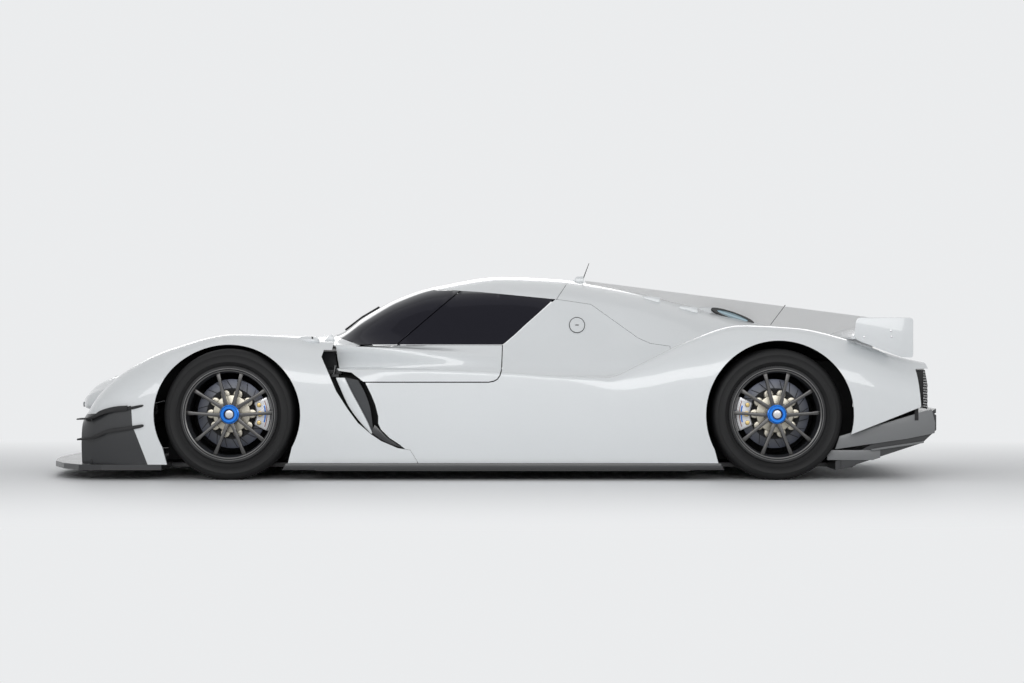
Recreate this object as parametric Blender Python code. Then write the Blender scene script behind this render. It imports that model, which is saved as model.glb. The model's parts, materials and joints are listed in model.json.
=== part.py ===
"""Closed two-seat endurance-style concept car, built from its body panels, glass, cabin, running gear and aero parts.

Metres, +Z up, nose towards -X, left side at -Y. The origin is on the ground, midway along the car's length.
"""

import math

import bmesh
import bpy
import numpy as np
from mathutils import Matrix, Vector

# Driving dimensions of the whole car
LENGTH = 4.89
TRACK_HALF = 0.81
FRONT_AXLE_X = -1.375
REAR_AXLE_X = 1.58
TYRE_RADIUS = 0.355
TYRE_WIDTH = 0.31
RIM_RADIUS = 0.262
ARCH_RADIUS = 0.388
ARCH_WRAP = 28.0
ARCH_SILL_INSET = 0.066
SILL_Z = 0.085
FLOOR_Z = 0.052
FLOOR_THICKNESS = 0.022

# Walls and gaps
PANEL = 0.020
DOOR_WALL = 0.045
GLASS = 0.006
SHUT_GAP = 0.0008
DOOR_GAP = 0.010
SEAT_GAP = 0.0004

# Running gear, with distances across the car measured from the wheel's middle
KINGPIN_INSET = 0.110
PIN_RADIUS = 0.012
STUB_RADIUS = 0.034
HUB_RADIUS = 0.056
BELL_RADIUS = 0.137
DISC_RADIUS = 0.190
DISC_THICKNESS = 0.030
DISC_INSET = 0.010
RIM_WALL = 0.010
LIP_HEIGHT = 0.016
SPOKE_PAIRS = 5
SPOKE_OUTSET = 0.105
SPOKE_DEPTH = 0.030
SPOKE_WIDTH = 0.016
SPOKE_SPLAY = 20.0
NUT_RADIUS = 0.051
NUT_LENGTH = 0.030
RUNNING_GAP = 0.006
ARM_DROP = 0.150
ARM_RADIUS = 0.012
CALIPER_SPAN = 0.200
UPRIGHT_WIDTH = 0.090
UPRIGHT_THICKNESS = 0.036
SUBFRAME_PLATE = 0.018

# Aero and floor
SPLITTER_THICKNESS = 0.030
SKIRT_THICKNESS = 0.030
SKIRT_Y = 0.978
FLOOR_HALF = 0.560
FLOOR_FRONT_X = -1.900
FLOOR_REAR_X = 1.900
FLOOR_SET_BACK = 0.060
WING_FRONT_X = 2.050
WING_REAR_X = 2.300
WING_Z = 0.800
WING_THICKNESS = 0.022
ENDPLATE_Y = 0.930
ENDPLATE_THICKNESS = 0.010
FIN_THICKNESS = 0.018
FIN_END_X = 2.230
ANTENNA_RADIUS = 0.004

# Cabin and engine
CELL_FRONT_X = -0.950
CELL_REAR_X = 0.480
CELL_HALF = 0.560
CELL_TOP = 0.470
CELL_WALL = 0.040
FOOTWELL_FRONT_X = -1.700
FOOTWELL_HALF = 0.320
FOOTWELL_TOP = 0.500
SEAT_Y = 0.270
SEAT_WIDTH = 0.420
SEAT_BOLSTER = 0.045
STEERING_RADIUS = 0.150
ENGINE_LENGTH = 0.600
ENGINE_HALF = 0.270
ENGINE_TOP = 0.680
GEARBOX_HALF = 0.160
GEARBOX_TOP = 0.510

# Door hinge, on the left side: a point on the axis and the axis's lean back and inwards for each metre up
HINGE_X = -0.815
HINGE_Y = 0.860
HINGE_Z = 0.590
HINGE_LEAN_X = 0.150
HINGE_LEAN_Y = 0.120
HINGE_RADIUS = 0.006
BOSS_RADIUS = 0.013
BOSS_LENGTH = 0.030

KINGPIN_Y = TRACK_HALF - KINGPIN_INSET
DISC_Y = TRACK_HALF - DISC_INSET
SPOKE_Y = TRACK_HALF + SPOKE_OUTSET
NOSE_X = -LENGTH / 2
FLOOR_TOP = FLOOR_Z + FLOOR_THICKNESS
SPOKE_STEP = math.tau / SPOKE_PAIRS
TAIL_X = LENGTH / 2
BODY_FRONT_X = -2.18
DECK_END_X = 2.41

# Body sections, front to rear. Each row is one station, in metres:
# x, wide_y: half width of the flank
# crown_y, crown_z: top of the fender or of the side pod
# inner_y, inner_z: inner shoulder of the fender
# gully_y, gully_z: lowest line between fender and centre body
# ridge_y, ridge_z: edge below the side window
# belt_y, belt_z: window line, or side of the nose or engine cover
# rail_y, rail_z: shoulder of the nose, roof or engine cover
# top_z: height on the centre plane
FRONT_SECTIONS = (
    (-2.18, 0.900, 0.76, 0.345, 0.64, 0.325, 0.50, 0.305, 0.38, 0.330, 0.30, 0.400, 0.20, 0.485, 0.535),
    (-2.10, 0.945, 0.77, 0.465, 0.63, 0.425, 0.49, 0.335, 0.385, 0.36, 0.31, 0.440, 0.21, 0.520, 0.562),
    (-1.95, 0.970, 0.78, 0.592, 0.62, 0.530, 0.485, 0.39, 0.39, 0.420, 0.325, 0.50, 0.225, 0.575, 0.605),
    (-1.70, 0.985, 0.785, 0.71, 0.56, 0.665, 0.48, 0.470, 0.40, 0.500, 0.34, 0.575, 0.24, 0.640, 0.660),
    (-1.375, 0.992, 0.785, 0.784, 0.56, 0.730, 0.47, 0.560, 0.41, 0.585, 0.36, 0.650, 0.26, 0.705, 0.722),
    (-1.05, 0.990, 0.775, 0.770, 0.62, 0.735, 0.56, 0.675, 0.51, 0.680, 0.45, 0.705, 0.31, 0.748, 0.767),
    (-0.88, 0.985, 0.765, 0.745, 0.70, 0.732, 0.66, 0.726, 0.63, 0.728, 0.58, 0.733, 0.345, 0.768, 0.787),
    (-0.35, 0.984, 0.765, 0.735, 0.70, 0.730, 0.66, 0.726, 0.63, 0.728, 0.58, 0.733, 0.345, 0.768, 0.787),
)
REAR_SECTIONS = (
    (-0.95, 0.960, 0.88, 0.600, 0.79, 0.590, 0.71, 0.610, 0.765, 0.725, 0.60, 0.735, 0.34, 0.762, 0.778),
    (-0.86, 0.970, 0.885, 0.60, 0.79, 0.590, 0.71, 0.610, 0.765, 0.725, 0.60, 0.730, 0.345, 0.768, 0.790),
    (-0.70, 0.978, 0.89, 0.598, 0.80, 0.588, 0.715, 0.608, 0.755, 0.720, 0.61, 0.727, 0.40, 0.845, 0.895),
    (-0.50, 0.982, 0.895, 0.598, 0.81, 0.586, 0.72, 0.604, 0.735, 0.705, 0.62, 0.727, 0.43, 0.935, 1.000),
    (-0.30, 0.984, 0.90, 0.596, 0.82, 0.582, 0.725, 0.598, 0.715, 0.688, 0.625, 0.727, 0.44, 0.990, 1.062),
    (0.10, 0.985, 0.90, 0.582, 0.83, 0.566, 0.735, 0.580, 0.690, 0.650, 0.625, 0.727, 0.44, 1.015, 1.122),
    (0.42, 0.985, 0.90, 0.560, 0.83, 0.548, 0.735, 0.565, 0.680, 0.640, 0.61, 0.735, 0.42, 1.000, 1.108),
    (0.65, 0.986, 0.895, 0.552, 0.81, 0.548, 0.71, 0.565, 0.66, 0.640, 0.58, 0.745, 0.38, 0.975, 1.075),
    (0.86, 0.990, 0.87, 0.635, 0.77, 0.600, 0.67, 0.600, 0.62, 0.665, 0.545, 0.76, 0.34, 0.945, 1.035),
    (1.10, 0.996, 0.83, 0.748, 0.71, 0.680, 0.62, 0.650, 0.57, 0.690, 0.50, 0.765, 0.30, 0.895, 0.975),
    (1.40, 1.000, 0.80, 0.835, 0.66, 0.760, 0.56, 0.700, 0.50, 0.710, 0.43, 0.755, 0.25, 0.840, 0.900),
    (1.70, 1.000, 0.80, 0.820, 0.65, 0.755, 0.53, 0.690, 0.46, 0.690, 0.38, 0.720, 0.21, 0.780, 0.825),
    (2.00, 0.990, 0.80, 0.752, 0.65, 0.700, 0.53, 0.655, 0.45, 0.650, 0.36, 0.665, 0.20, 0.700, 0.735),
    (2.25, 0.975, 0.79, 0.668, 0.65, 0.640, 0.53, 0.625, 0.45, 0.622, 0.35, 0.625, 0.20, 0.640, 0.655),
    (2.41, 0.965, 0.78, 0.628, 0.65, 0.620, 0.53, 0.618, 0.45, 0.618, 0.35, 0.618, 0.20, 0.620, 0.625),
)

# Nose ahead of the fenders, each row one station: x, belt_y, belt_z, rail_y, rail_z, top_z, chin_z
NOSE_SECTIONS = (
    (-2.150, 0.335, 0.425, 0.205, 0.502, 0.548, 0.345),
    (-2.205, 0.322, 0.420, 0.198, 0.480, 0.524, 0.350),
    (-2.250, 0.292, 0.414, 0.178, 0.462, 0.500, 0.353),
    (-2.285, 0.235, 0.405, 0.140, 0.440, 0.470, 0.358),
    (-2.310, 0.150, 0.398, 0.085, 0.420, 0.438, 0.368),
)
# Black foils on each front corner: tip x, root x, height at the tip, height at the root, thickness, how far out
DIVE_PLANES = (
    (-2.191, -1.913, 0.325, 0.390, 0.010, 0.990),
    (-2.183, -1.845, 0.215, 0.292, 0.012, 0.990),
)

# Outlines in side view, as (x, z)
WINDOW_LINE = (
    (-0.875, 0.790), (-0.70, 0.731), (0.097, 0.731), (0.168, 0.791), (0.240, 0.858), (0.3015, 0.912), (0.381, 0.985),
)
ROOF_EDGE = ((0.381, 0.985), (-0.03, 1.025), (-0.17, 1.035), (-0.32, 1.048))
GLASS_FRONT = ((-0.36, 1.13), (-0.94, 0.84))
PILLAR_LINE = ((-0.50, 0.727), (-0.145, 1.035))
ROOF_SEAM = ((0.401, 0.985), (0.505, 1.14))
DOOR_EDGE = (
    (-0.817, 0.770), (-0.808, 0.6625), (-0.800, 0.603), (-0.787, 0.590), (-0.715, 0.580), (-0.65, 0.532),
    (0.025, 0.532), (0.070, 0.548), (0.090, 0.595), (0.095, 0.727), (-0.49, 0.727), (-0.53, 0.715), (-0.70, 0.720),
)
FENDER_TAIL = (
    (-0.872, 0.702), (-0.880, 0.665), (-0.848, 0.600), (-0.795, 0.480), (-0.732, 0.382),
    (-0.6785, 0.310), (-0.607, 0.248), (-0.5537, 0.212), (-0.4644, 0.174), (-0.3977, 0.163),
)
SEAM_FOOT = (-0.300, 0.0)
POD_FACE = (
    (-0.455, 0.194), (-0.509, 0.230), (-0.5537, 0.2745), (-0.569, 0.306), (-0.569, 0.346),
    (-0.585, 0.4085), (-0.607, 0.462), (-0.638, 0.524), (-0.6565, 0.551), (-0.688, 0.567), (-0.696, 0.596),
)
BLADE_FRONT = ((-0.800, 0.553), (-0.765, 0.470), (-0.730, 0.397), (-0.675, 0.320), (-0.612, 0.250))
BLADE_REAR = ((-0.752, 0.553), (-0.712, 0.470), (-0.672, 0.397), (-0.632, 0.320), (-0.602, 0.252))
BLADE_FOOT = ((-0.612, 0.250), (-0.533, 0.199), (-0.420, 0.168), (-0.479, 0.203), (-0.533, 0.243), (-0.590, 0.300))
COVER_SEAM = ((0.401, 0.985), (0.594, 0.957), (0.852, 0.7685), (0.92, 0.737), (1.03, 0.722))
CORNER_EDGE = ((-2.25, 0.346), (-2.05, 0.362), (-1.90, 0.402), (-1.893, 0.295), (-1.875, 0.250), (-1.80, 0.05), (-2.25, 0.05))
MOUTH_X = -2.150
GRILLE_X = 2.345
DIFFUSER_TOP = ((2.20, 0.23), (TAIL_X, 0.385))
TAIL_FLANK = ((1.90, 0.05), (1.90, 0.2185), (1.983, 0.2525), (2.352, 0.396), (2.352, 0.41), (2.335, 0.60), (2.60, 0.60), (2.60, 0.05))
COVER_Y = 0.690

# Facets: pieces of each span of a half section from the sill to the centre plane, and turns of round pieces
SPAN_PIECES = (1, 1, 2, 1, 1, 1, 1, 1, 2)
CLAM_STATIONS = (-2.18, -2.12, -2.06, -1.98, -1.87, -1.74, -1.57, -1.375, -1.20, -1.05, -0.90, -0.63, -0.36)
WHEEL_TURNS = 24
HUB_TURNS = 12
BORE_TURNS = 24
PIN_TURNS = 10
ROD_TURNS = 5
WINDOW_Y = 0.595
COWL_Y = 0.586
COWL_FRONT_X = -0.895
ANTENNA_FOOT = (0.50, 0.56)
WIPER_STATIONS = (-0.8125, -0.715, -0.6175)


def material(name, colour, roughness, metallic=0.0):
    """One Principled material, made once."""
    found = bpy.data.materials.get(name)
    if found:
        return found
    made = bpy.data.materials.new(name)
    made.use_nodes = True
    shader = made.node_tree.nodes["Principled BSDF"]
    shader.inputs["Base Color"].default_value = (*colour, 1.0)
    shader.inputs["Roughness"].default_value = roughness
    shader.inputs["Metallic"].default_value = metallic
    return made


FINISHES = {
    "white_paint": ((0.80, 0.82, 0.82), 0.18, 0.0),
    "carbon": ((0.035, 0.037, 0.04), 0.35, 0.0),
    "dark_glass": ((0.012, 0.012, 0.016), 0.06, 0.0),
    "rubber": ((0.02, 0.02, 0.02), 0.75, 0.0),
    "rim_metal": ((0.10, 0.10, 0.10), 0.35, 0.8),
    "bare_metal": ((0.45, 0.44, 0.42), 0.35, 0.9),
    "lamp": ((0.55, 0.57, 0.6), 0.1, 0.0),
    "red_lens": ((0.35, 0.01, 0.01), 0.15, 0.0),
    "trim": ((0.02, 0.02, 0.022), 0.5, 0.0),
    "seat_fabric": ((0.03, 0.03, 0.032), 0.85, 0.0),
}


def finish(obj, name):
    """Gives an object its one material."""
    obj.data.materials.clear()
    obj.data.materials.append(material(name, *FINISHES[name]))
    return obj


def from_bmesh(name, bm, finish_name=None):
    """Closes off a bmesh as a linked object with outward faces."""
    bmesh.ops.recalc_face_normals(bm, faces=bm.faces)
    mesh = bpy.data.meshes.new(name)
    bm.to_mesh(mesh)
    bm.free()
    obj = bpy.data.objects.new(name, mesh)
    bpy.context.scene.collection.objects.link(obj)
    if finish_name:
        finish(obj, finish_name)
    return obj


def bake(obj):
    """Turns an object's modifiers into its mesh."""
    bpy.context.view_layer.update()
    graph = bpy.context.evaluated_depsgraph_get()
    mesh = bpy.data.meshes.new_from_object(obj.evaluated_get(graph))
    obj.modifiers.clear()
    obj.data = mesh
    return obj


def carve(target, cutter, operation="DIFFERENCE"):
    """Applies one Boolean and removes the cutter."""
    modifier = target.modifiers.new("carve", "BOOLEAN")
    modifier.operation = operation
    modifier.object = cutter
    bake(target)
    bpy.data.objects.remove(cutter)
    return target


def join(target, *others):
    """Unites solids that overlap into one."""
    for other in others:
        carve(target, other, "UNION")
    return target


def box(name, low, high, finish_name=None):
    """A block between two corners."""
    bm = bmesh.new()
    bmesh.ops.create_cube(bm, size=1.0)
    size = Vector(high) - Vector(low)
    middle = (Vector(high) + Vector(low)) / 2
    bmesh.ops.transform(bm, matrix=Matrix.Translation(middle) @ Matrix.Diagonal((*size, 1.0)), verts=bm.verts)
    return from_bmesh(name, bm, finish_name)


def prism(name, outline, low_y, high_y, finish_name=None):
    """A side-view outline of (x, z) points, extruded across the car."""
    bm = bmesh.new()
    face = bm.faces.new([bm.verts.new((x, low_y, z)) for x, z in outline])
    moved = bmesh.ops.extrude_face_region(bm, geom=[face])["geom"]
    bmesh.ops.translate(bm, vec=(0, high_y - low_y, 0), verts=[v for v in moved if isinstance(v, bmesh.types.BMVert)])
    return from_bmesh(name, bm, finish_name)


def plate(name, outline, low_z, high_z, finish_name=None):
    """A plan-view outline of (x, y) points, extruded upwards."""
    bm = bmesh.new()
    face = bm.faces.new([bm.verts.new((x, y, low_z)) for x, y in outline])
    moved = bmesh.ops.extrude_face_region(bm, geom=[face])["geom"]
    bmesh.ops.translate(bm, vec=(0, 0, high_z - low_z), verts=[v for v in moved if isinstance(v, bmesh.types.BMVert)])
    return from_bmesh(name, bm, finish_name)


def turned(name, profile, segments, finish_name=None):
    """A closed profile of (y, radius) points, turned about the Y axis, with the middle of a flat at each radius."""
    bm = bmesh.new()
    half = math.pi / segments
    grow = 1 / math.cos(half)
    verts = [bm.verts.new((radius * grow * math.sin(half), y, radius * grow * math.cos(half))) for y, radius in profile]
    edges = [bm.edges.new((a, b)) for a, b in zip(verts, verts[1:] + verts[:1])]
    bmesh.ops.spin(
        bm, geom=verts + edges, cent=(0, 0, 0), axis=(0, 1, 0), angle=math.tau, steps=segments, use_merge=True
    )
    bmesh.ops.remove_doubles(bm, verts=bm.verts, dist=1e-5)
    return from_bmesh(name, bm, finish_name)


def drum(name, centre, radius, low_y, high_y, segments=24, finish_name=None):
    """A round bar along Y."""
    bm = bmesh.new()
    bmesh.ops.create_cone(
        bm, cap_ends=True, segments=segments, radius1=radius, radius2=radius, depth=high_y - low_y,
        matrix=Matrix.Translation((centre[0], (low_y + high_y) / 2, centre[1])) @ Matrix.Rotation(math.pi / 2, 4, "X"),
    )
    return from_bmesh(name, bm, finish_name)


def bore_radius(radius, turns):
    """Radius of a faceted bore that a round bar turns in freely."""
    return (radius + SEAT_GAP) / math.cos(math.pi / turns)


def rod(name, start, end, radius, segments=ROD_TURNS, finish_name=None):
    """A round bar between two points."""
    start, end = Vector(start), Vector(end)
    along = end - start
    bm = bmesh.new()
    bmesh.ops.create_cone(
        bm, cap_ends=True, segments=segments, radius1=radius, radius2=radius, depth=along.length,
        matrix=Matrix.Translation((start + end) / 2) @ along.to_track_quat("Z", "Y").to_matrix().to_4x4(),
    )
    return from_bmesh(name, bm, finish_name)


def loft(name, rings, finish_name=None):
    """A closed solid through rings of the same number of points."""
    bm = bmesh.new()
    loops = [[bm.verts.new(p) for p in ring] for ring in rings]
    for first, second in zip(loops, loops[1:]):
        count = len(first)
        for i in range(count):
            j = (i + 1) % count
            bm.faces.new((first[i], first[j], second[j], second[i]))
    bm.faces.new(loops[0])
    bm.faces.new(loops[-1])
    return from_bmesh(name, bm, finish_name)


def grown(outline, gap):
    """An outline moved outwards by gap on every side."""
    points = [Vector(p) for p in outline]
    area = sum(a.x * b.y - b.x * a.y for a, b in zip(points, points[1:] + points[:1]))
    turn = 1.0 if area > 0 else -1.0
    moved = []
    for i, point in enumerate(points):
        before = (point - points[i - 1]).normalized()
        after = (points[(i + 1) % len(points)] - point).normalized()
        normal_before = Vector((before.y, -before.x)) * turn
        normal_after = Vector((after.y, -after.x)) * turn
        middle = (normal_before + normal_after).normalized()
        moved.append(tuple(point + middle * gap / max(0.5, middle.dot(normal_after))))
    return moved


def smooth_value(xs, ys, x):
    """A monotone cubic through (xs, ys), so that no value overshoots its stations."""
    steps = np.diff(xs)
    slopes = np.diff(ys) / steps
    tangents = np.empty(len(xs))
    tangents[0], tangents[-1] = slopes[0], slopes[-1]
    for i in range(1, len(xs) - 1):
        before, after = slopes[i - 1], slopes[i]
        if before * after <= 0:
            tangents[i] = 0.0
        else:
            tangents[i] = 2 * before * after / (before + after)
    i = int(np.clip(np.searchsorted(xs, x) - 1, 0, len(steps) - 1))
    t = (x - xs[i]) / steps[i]
    rise = ys[i + 1] - ys[i]
    low, high = tangents[i] * steps[i], tangents[i + 1] * steps[i]
    return ys[i] + t * (low + t * ((3 * rise - 2 * low - high) + t * (low + high - 2 * rise)))


def section(table, x):
    """The outer skin's half section at x: (y, z) points from the sill to the centre plane."""
    stations = np.array(table)
    row = [smooth_value(stations[:, 0], stations[:, c], x) for c in range(1, stations.shape[1])]
    wide, crown_y, crown_z = row[:3]
    height = crown_z - SILL_Z
    knots = [(wide - 0.02, SILL_Z), (wide, SILL_Z + 0.45 * height), (wide - 0.03, SILL_Z + 0.82 * height)]
    knots += [(crown_y, crown_z), (row[3], row[4]), (row[5], row[6]), (row[7], row[8])]
    knots += [(row[9], row[10]), (row[11], row[12]), (0.0, row[13])]
    knots = [Vector(k) for k in knots]
    before = knots[0] + (knots[0] - knots[1])
    after = Vector((-knots[-2].x, knots[-2].y))
    padded = [before, *knots, after]
    points = []
    for k in range(1, len(padded) - 2):
        a, b, c, d = padded[k - 1 : k + 3]
        span = (c - b).length
        start = (c - a) * span / max((c - b).length + (b - a).length, 1e-6)
        end = (d - b) * span / max((d - c).length + (c - b).length, 1e-6)
        pieces = SPAN_PIECES[k - 1]
        for n in range(pieces):
            t = n / pieces
            points.append(
                b * (2 * t**3 - 3 * t**2 + 1) + start * (t**3 - 2 * t**2 + t)
                + c * (3 * t**2 - 2 * t**3) + end * (t**3 - t**2)
            )
    points.append(knots[-1])
    return points


def skin(name, table, stations, wall):
    """A wall of the body, wall thick inwards, through sections at the given stations."""
    bm = bmesh.new()
    rows = []
    for x in stations:
        half = section(table, x)
        ring = [(x, -p.x, p.y) for p in half] + [(x, p.x, p.y) for p in reversed(half[:-1])]
        rows.append([bm.verts.new(p) for p in ring])
    for first, second in zip(rows, rows[1:]):
        for i in range(len(first) - 1):
            bm.faces.new((first[i], first[i + 1], second[i + 1], second[i]))
    mesh = bpy.data.meshes.new(name)
    bmesh.ops.recalc_face_normals(bm, faces=bm.faces)
    if sum(f.normal.z * f.calc_area() for f in bm.faces) < 0:
        bmesh.ops.reverse_faces(bm, faces=bm.faces)
    bm.to_mesh(mesh)
    bm.free()
    obj = bpy.data.objects.new(name, mesh)
    bpy.context.scene.collection.objects.link(obj)
    thicken = obj.modifiers.new("thicken", "SOLIDIFY")
    thicken.thickness = wall
    thicken.offset = -1.0
    thicken.use_even_offset = False
    return bake(obj)


def spread(start, end, step):
    """Evenly spaced stations from start to end."""
    count = max(1, round((end - start) / step))
    return [start + (end - start) * i / count for i in range(count + 1)]


def arch_cutter(axle_x):
    """Both wheel openings of one axle: a round arch whose feet leave the circle low down and drop to the sill."""
    start = -math.radians(ARCH_WRAP)
    turns = [start + (math.pi - 2 * start) * i / 14 for i in range(15)]
    arc = [(axle_x + ARCH_RADIUS * math.cos(a), TYRE_RADIUS + ARCH_RADIUS * math.sin(a)) for a in turns]
    sill, ground = ARCH_RADIUS - ARCH_SILL_INSET, ARCH_RADIUS - ARCH_SILL_INSET - 0.03
    rear_foot = [(axle_x - sill, SILL_Z), (axle_x - ground, -0.05)]
    return arc + rear_foot + [(axle_x + ground, -0.05), (axle_x + sill, SILL_Z)]


def cut_arches(obj, axle_x):
    """Opens both flanks round one axle's wheels."""
    for side in (-1, 1):
        low, high = sorted((side * 0.70, side * 1.2))
        carve(obj, prism("arch", arch_cutter(axle_x), low, high))
    return obj


def copied(obj, name, matrix):
    """A second object like the first, with its mesh moved or mirrored by a matrix."""
    mesh = obj.data.copy()
    mesh.name = name
    mesh.transform(matrix)
    if matrix.determinant() < 0:
        mesh.flip_normals()
    made = bpy.data.objects.new(name, mesh)
    bpy.context.scene.collection.objects.link(made)
    return made


def mirror_left(obj):
    """Makes the right half of a piece the exact mirror image of its left half."""
    bm = bmesh.new()
    bm.from_mesh(obj.data)
    bmesh.ops.symmetrize(bm, input=[*bm.verts, *bm.edges, *bm.faces], direction="-Y", dist=1e-6)
    bm.to_mesh(obj.data)
    bm.free()
    return obj


def both_sides(make):
    """Makes the left side's pieces and mirrors each to the right."""
    before = set(bpy.data.objects.keys())
    make(-1, "left")
    for name in [n for n in bpy.data.objects.keys() if n not in before]:
        copied(bpy.data.objects[name], name.replace("left", "right"), Matrix.Diagonal((1, -1, 1, 1)))


def glass_outline():
    return [*WINDOW_LINE, *ROOF_EDGE[1:], *GLASS_FRONT]


def roof_outline():
    return [ROOF_EDGE[-1], *reversed(ROOF_EDGE[:-1]), ROOF_SEAM[0], ROOF_SEAM[1], (-0.10, 1.35), (-0.36, 1.20)]


def cover_outline():
    return [ROOF_SEAM[1], *COVER_SEAM, (1.03, 0.45), (2.7, 0.45), (2.7, 1.35), (0.505, 1.35)]


def front_clam():
    """Nose deck and both front fenders, in one lift-off piece."""
    body = skin("front_clam", FRONT_SECTIONS, CLAM_STATIONS, PANEL)
    shut_x = DOOR_EDGE[0][0] - DOOR_GAP
    tail = [*FENDER_TAIL, SEAM_FOOT, (-0.10, 0.0), (-0.10, 1.2), (shut_x, 1.2), (shut_x, FENDER_TAIL[0][1])]
    carve(body, prism("tail", tail, -1.2, 1.2))
    centre = COWL_Y + SHUT_GAP
    carve(body, box("cowl_hole", (COWL_FRONT_X - SHUT_GAP, -centre, 0.55), (0.0, centre, 1.2)))
    carve(body, prism("corner", grown(CORNER_EDGE, SHUT_GAP / 2), -1.2, 1.2))
    cut_arches(body, FRONT_AXLE_X)
    add_nose(body)
    add_blisters(body)
    for side in (-1, 1):
        carve(body, box("lamp_hole", *lamp_block(side, SHUT_GAP)))
    finish(mirror_left(body), "white_paint")


def corner_panel(side, suffix):
    """Black fender foot ahead of the front wheel, with its two dive planes."""
    body = skin(f"corner_panel_{suffix}", FRONT_SECTIONS, CLAM_STATIONS[:6], PANEL)
    low, high = sorted((side * 0.60, side * 1.2))
    carve(body, prism("corner", CORNER_EDGE, low, high), "INTERSECT")
    for row in DIVE_PLANES:
        join(body, dive_plane(side, *row))
    finish(body, "carbon")


def dive_plane(side, tip_x, root_x, tip_z, root_z, thickness, reach):
    """Curved foil that rises rearwards along one front corner, with its turned-up outer edge."""
    middle_x, middle_z = (tip_x + root_x) / 2, tip_z + (root_z - tip_z) * 0.40
    under = [(tip_x, tip_z), (middle_x, middle_z), (root_x, root_z)]
    outline = under + [(x, z + thickness) for x, z in reversed(under)]
    body = prism("dive_plane", outline, *sorted((side * 0.868, side * reach)))
    lip = under + [(root_x, root_z + 3 * thickness), (middle_x, middle_z + 3 * thickness), (tip_x + 0.03, tip_z + 1.6 * thickness)]
    join(body, prism("lip", lip, *sorted((side * (reach - 0.006), side * (reach + 0.002)))))
    fender = inside("fender", FRONT_SECTIONS, CLAM_STATIONS[:7], -0.003, 0.0)
    carve(fender, prism("corner", grown(CORNER_EDGE, -0.013), *sorted((side * 0.3, side * 1.2))))
    return carve(body, fender)


def cowl():
    """Panel between the nose deck and the windscreen."""
    body = skin("cowl", REAR_SECTIONS, spread(-0.94, -0.66, 0.07), PANEL)
    outline = [(COWL_FRONT_X, 0.5), (-0.66, 0.5), (-0.66, 0.70), *grown(glass_outline(), SHUT_GAP)[1::-1], (COWL_FRONT_X, 1.0)]
    carve(body, prism("cowl_cut", outline, -COWL_Y, COWL_Y), "INTERSECT")
    finish(mirror_left(body), "white_paint")


def windscreen():
    """Wrap-round screen up to the roof's front edge and back to the pillars."""
    body = skin("windscreen", REAR_SECTIONS, spread(-0.91, -0.13, 0.0975), GLASS)
    carve(body, prism("glass", glass_outline(), -1.0, 1.0), "INTERSECT")
    behind = [PILLAR_LINE[0], (0.6, 0.5), (0.6, 1.5), (0.3, 1.5), PILLAR_LINE[1]]
    behind[0] = (PILLAR_LINE[0][0] - 0.02, PILLAR_LINE[0][1] - 0.02)
    behind.insert(1, (PILLAR_LINE[0][0] - 0.02, 0.5))
    carve(body, prism("behind", behind, -1.0, 1.0))
    finish(mirror_left(body), "dark_glass")


def roof():
    """Roof skin from the screen to the seam behind the doors."""
    body = skin("roof", REAR_SECTIONS, spread(-0.36, 0.64, 0.10), PANEL)
    carve(body, prism("roof_cut", grown(roof_outline(), -SHUT_GAP), -1.0, 1.0), "INTERSECT")
    finish(mirror_left(body), "white_paint")


def door(side, suffix):
    """Door shell below the window line."""
    body = skin(f"door_{suffix}", REAR_SECTIONS, spread(-0.84, 0.16, 0.166), DOOR_WALL)
    low, high = sorted((side * WINDOW_Y, side * 1.2))
    carve(body, prism("door_cut", DOOR_EDGE, low, high), "INTERSECT")
    finish(body, "white_paint")


def door_glass(side, suffix):
    """Side window, carried by the door."""
    body = skin(f"door_glass_{suffix}", REAR_SECTIONS, spread(-0.53, 0.47, 0.125), GLASS)
    low, high = sorted((side * 0.05, side * 1.0))
    carve(body, prism("glass", glass_outline(), low, high), "INTERSECT")
    ahead = [(PILLAR_LINE[0][0] - 0.012, 0.5), (PILLAR_LINE[0][0] - 0.012, PILLAR_LINE[0][1] - 0.012), PILLAR_LINE[1]]
    ahead = [(-1.5, 0.5), *ahead, (-0.1, 1.5), (-1.5, 1.5)]
    carve(body, prism("ahead", grown(ahead, DOOR_GAP), -1.0, 1.0))
    finish(body, "dark_glass")


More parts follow.
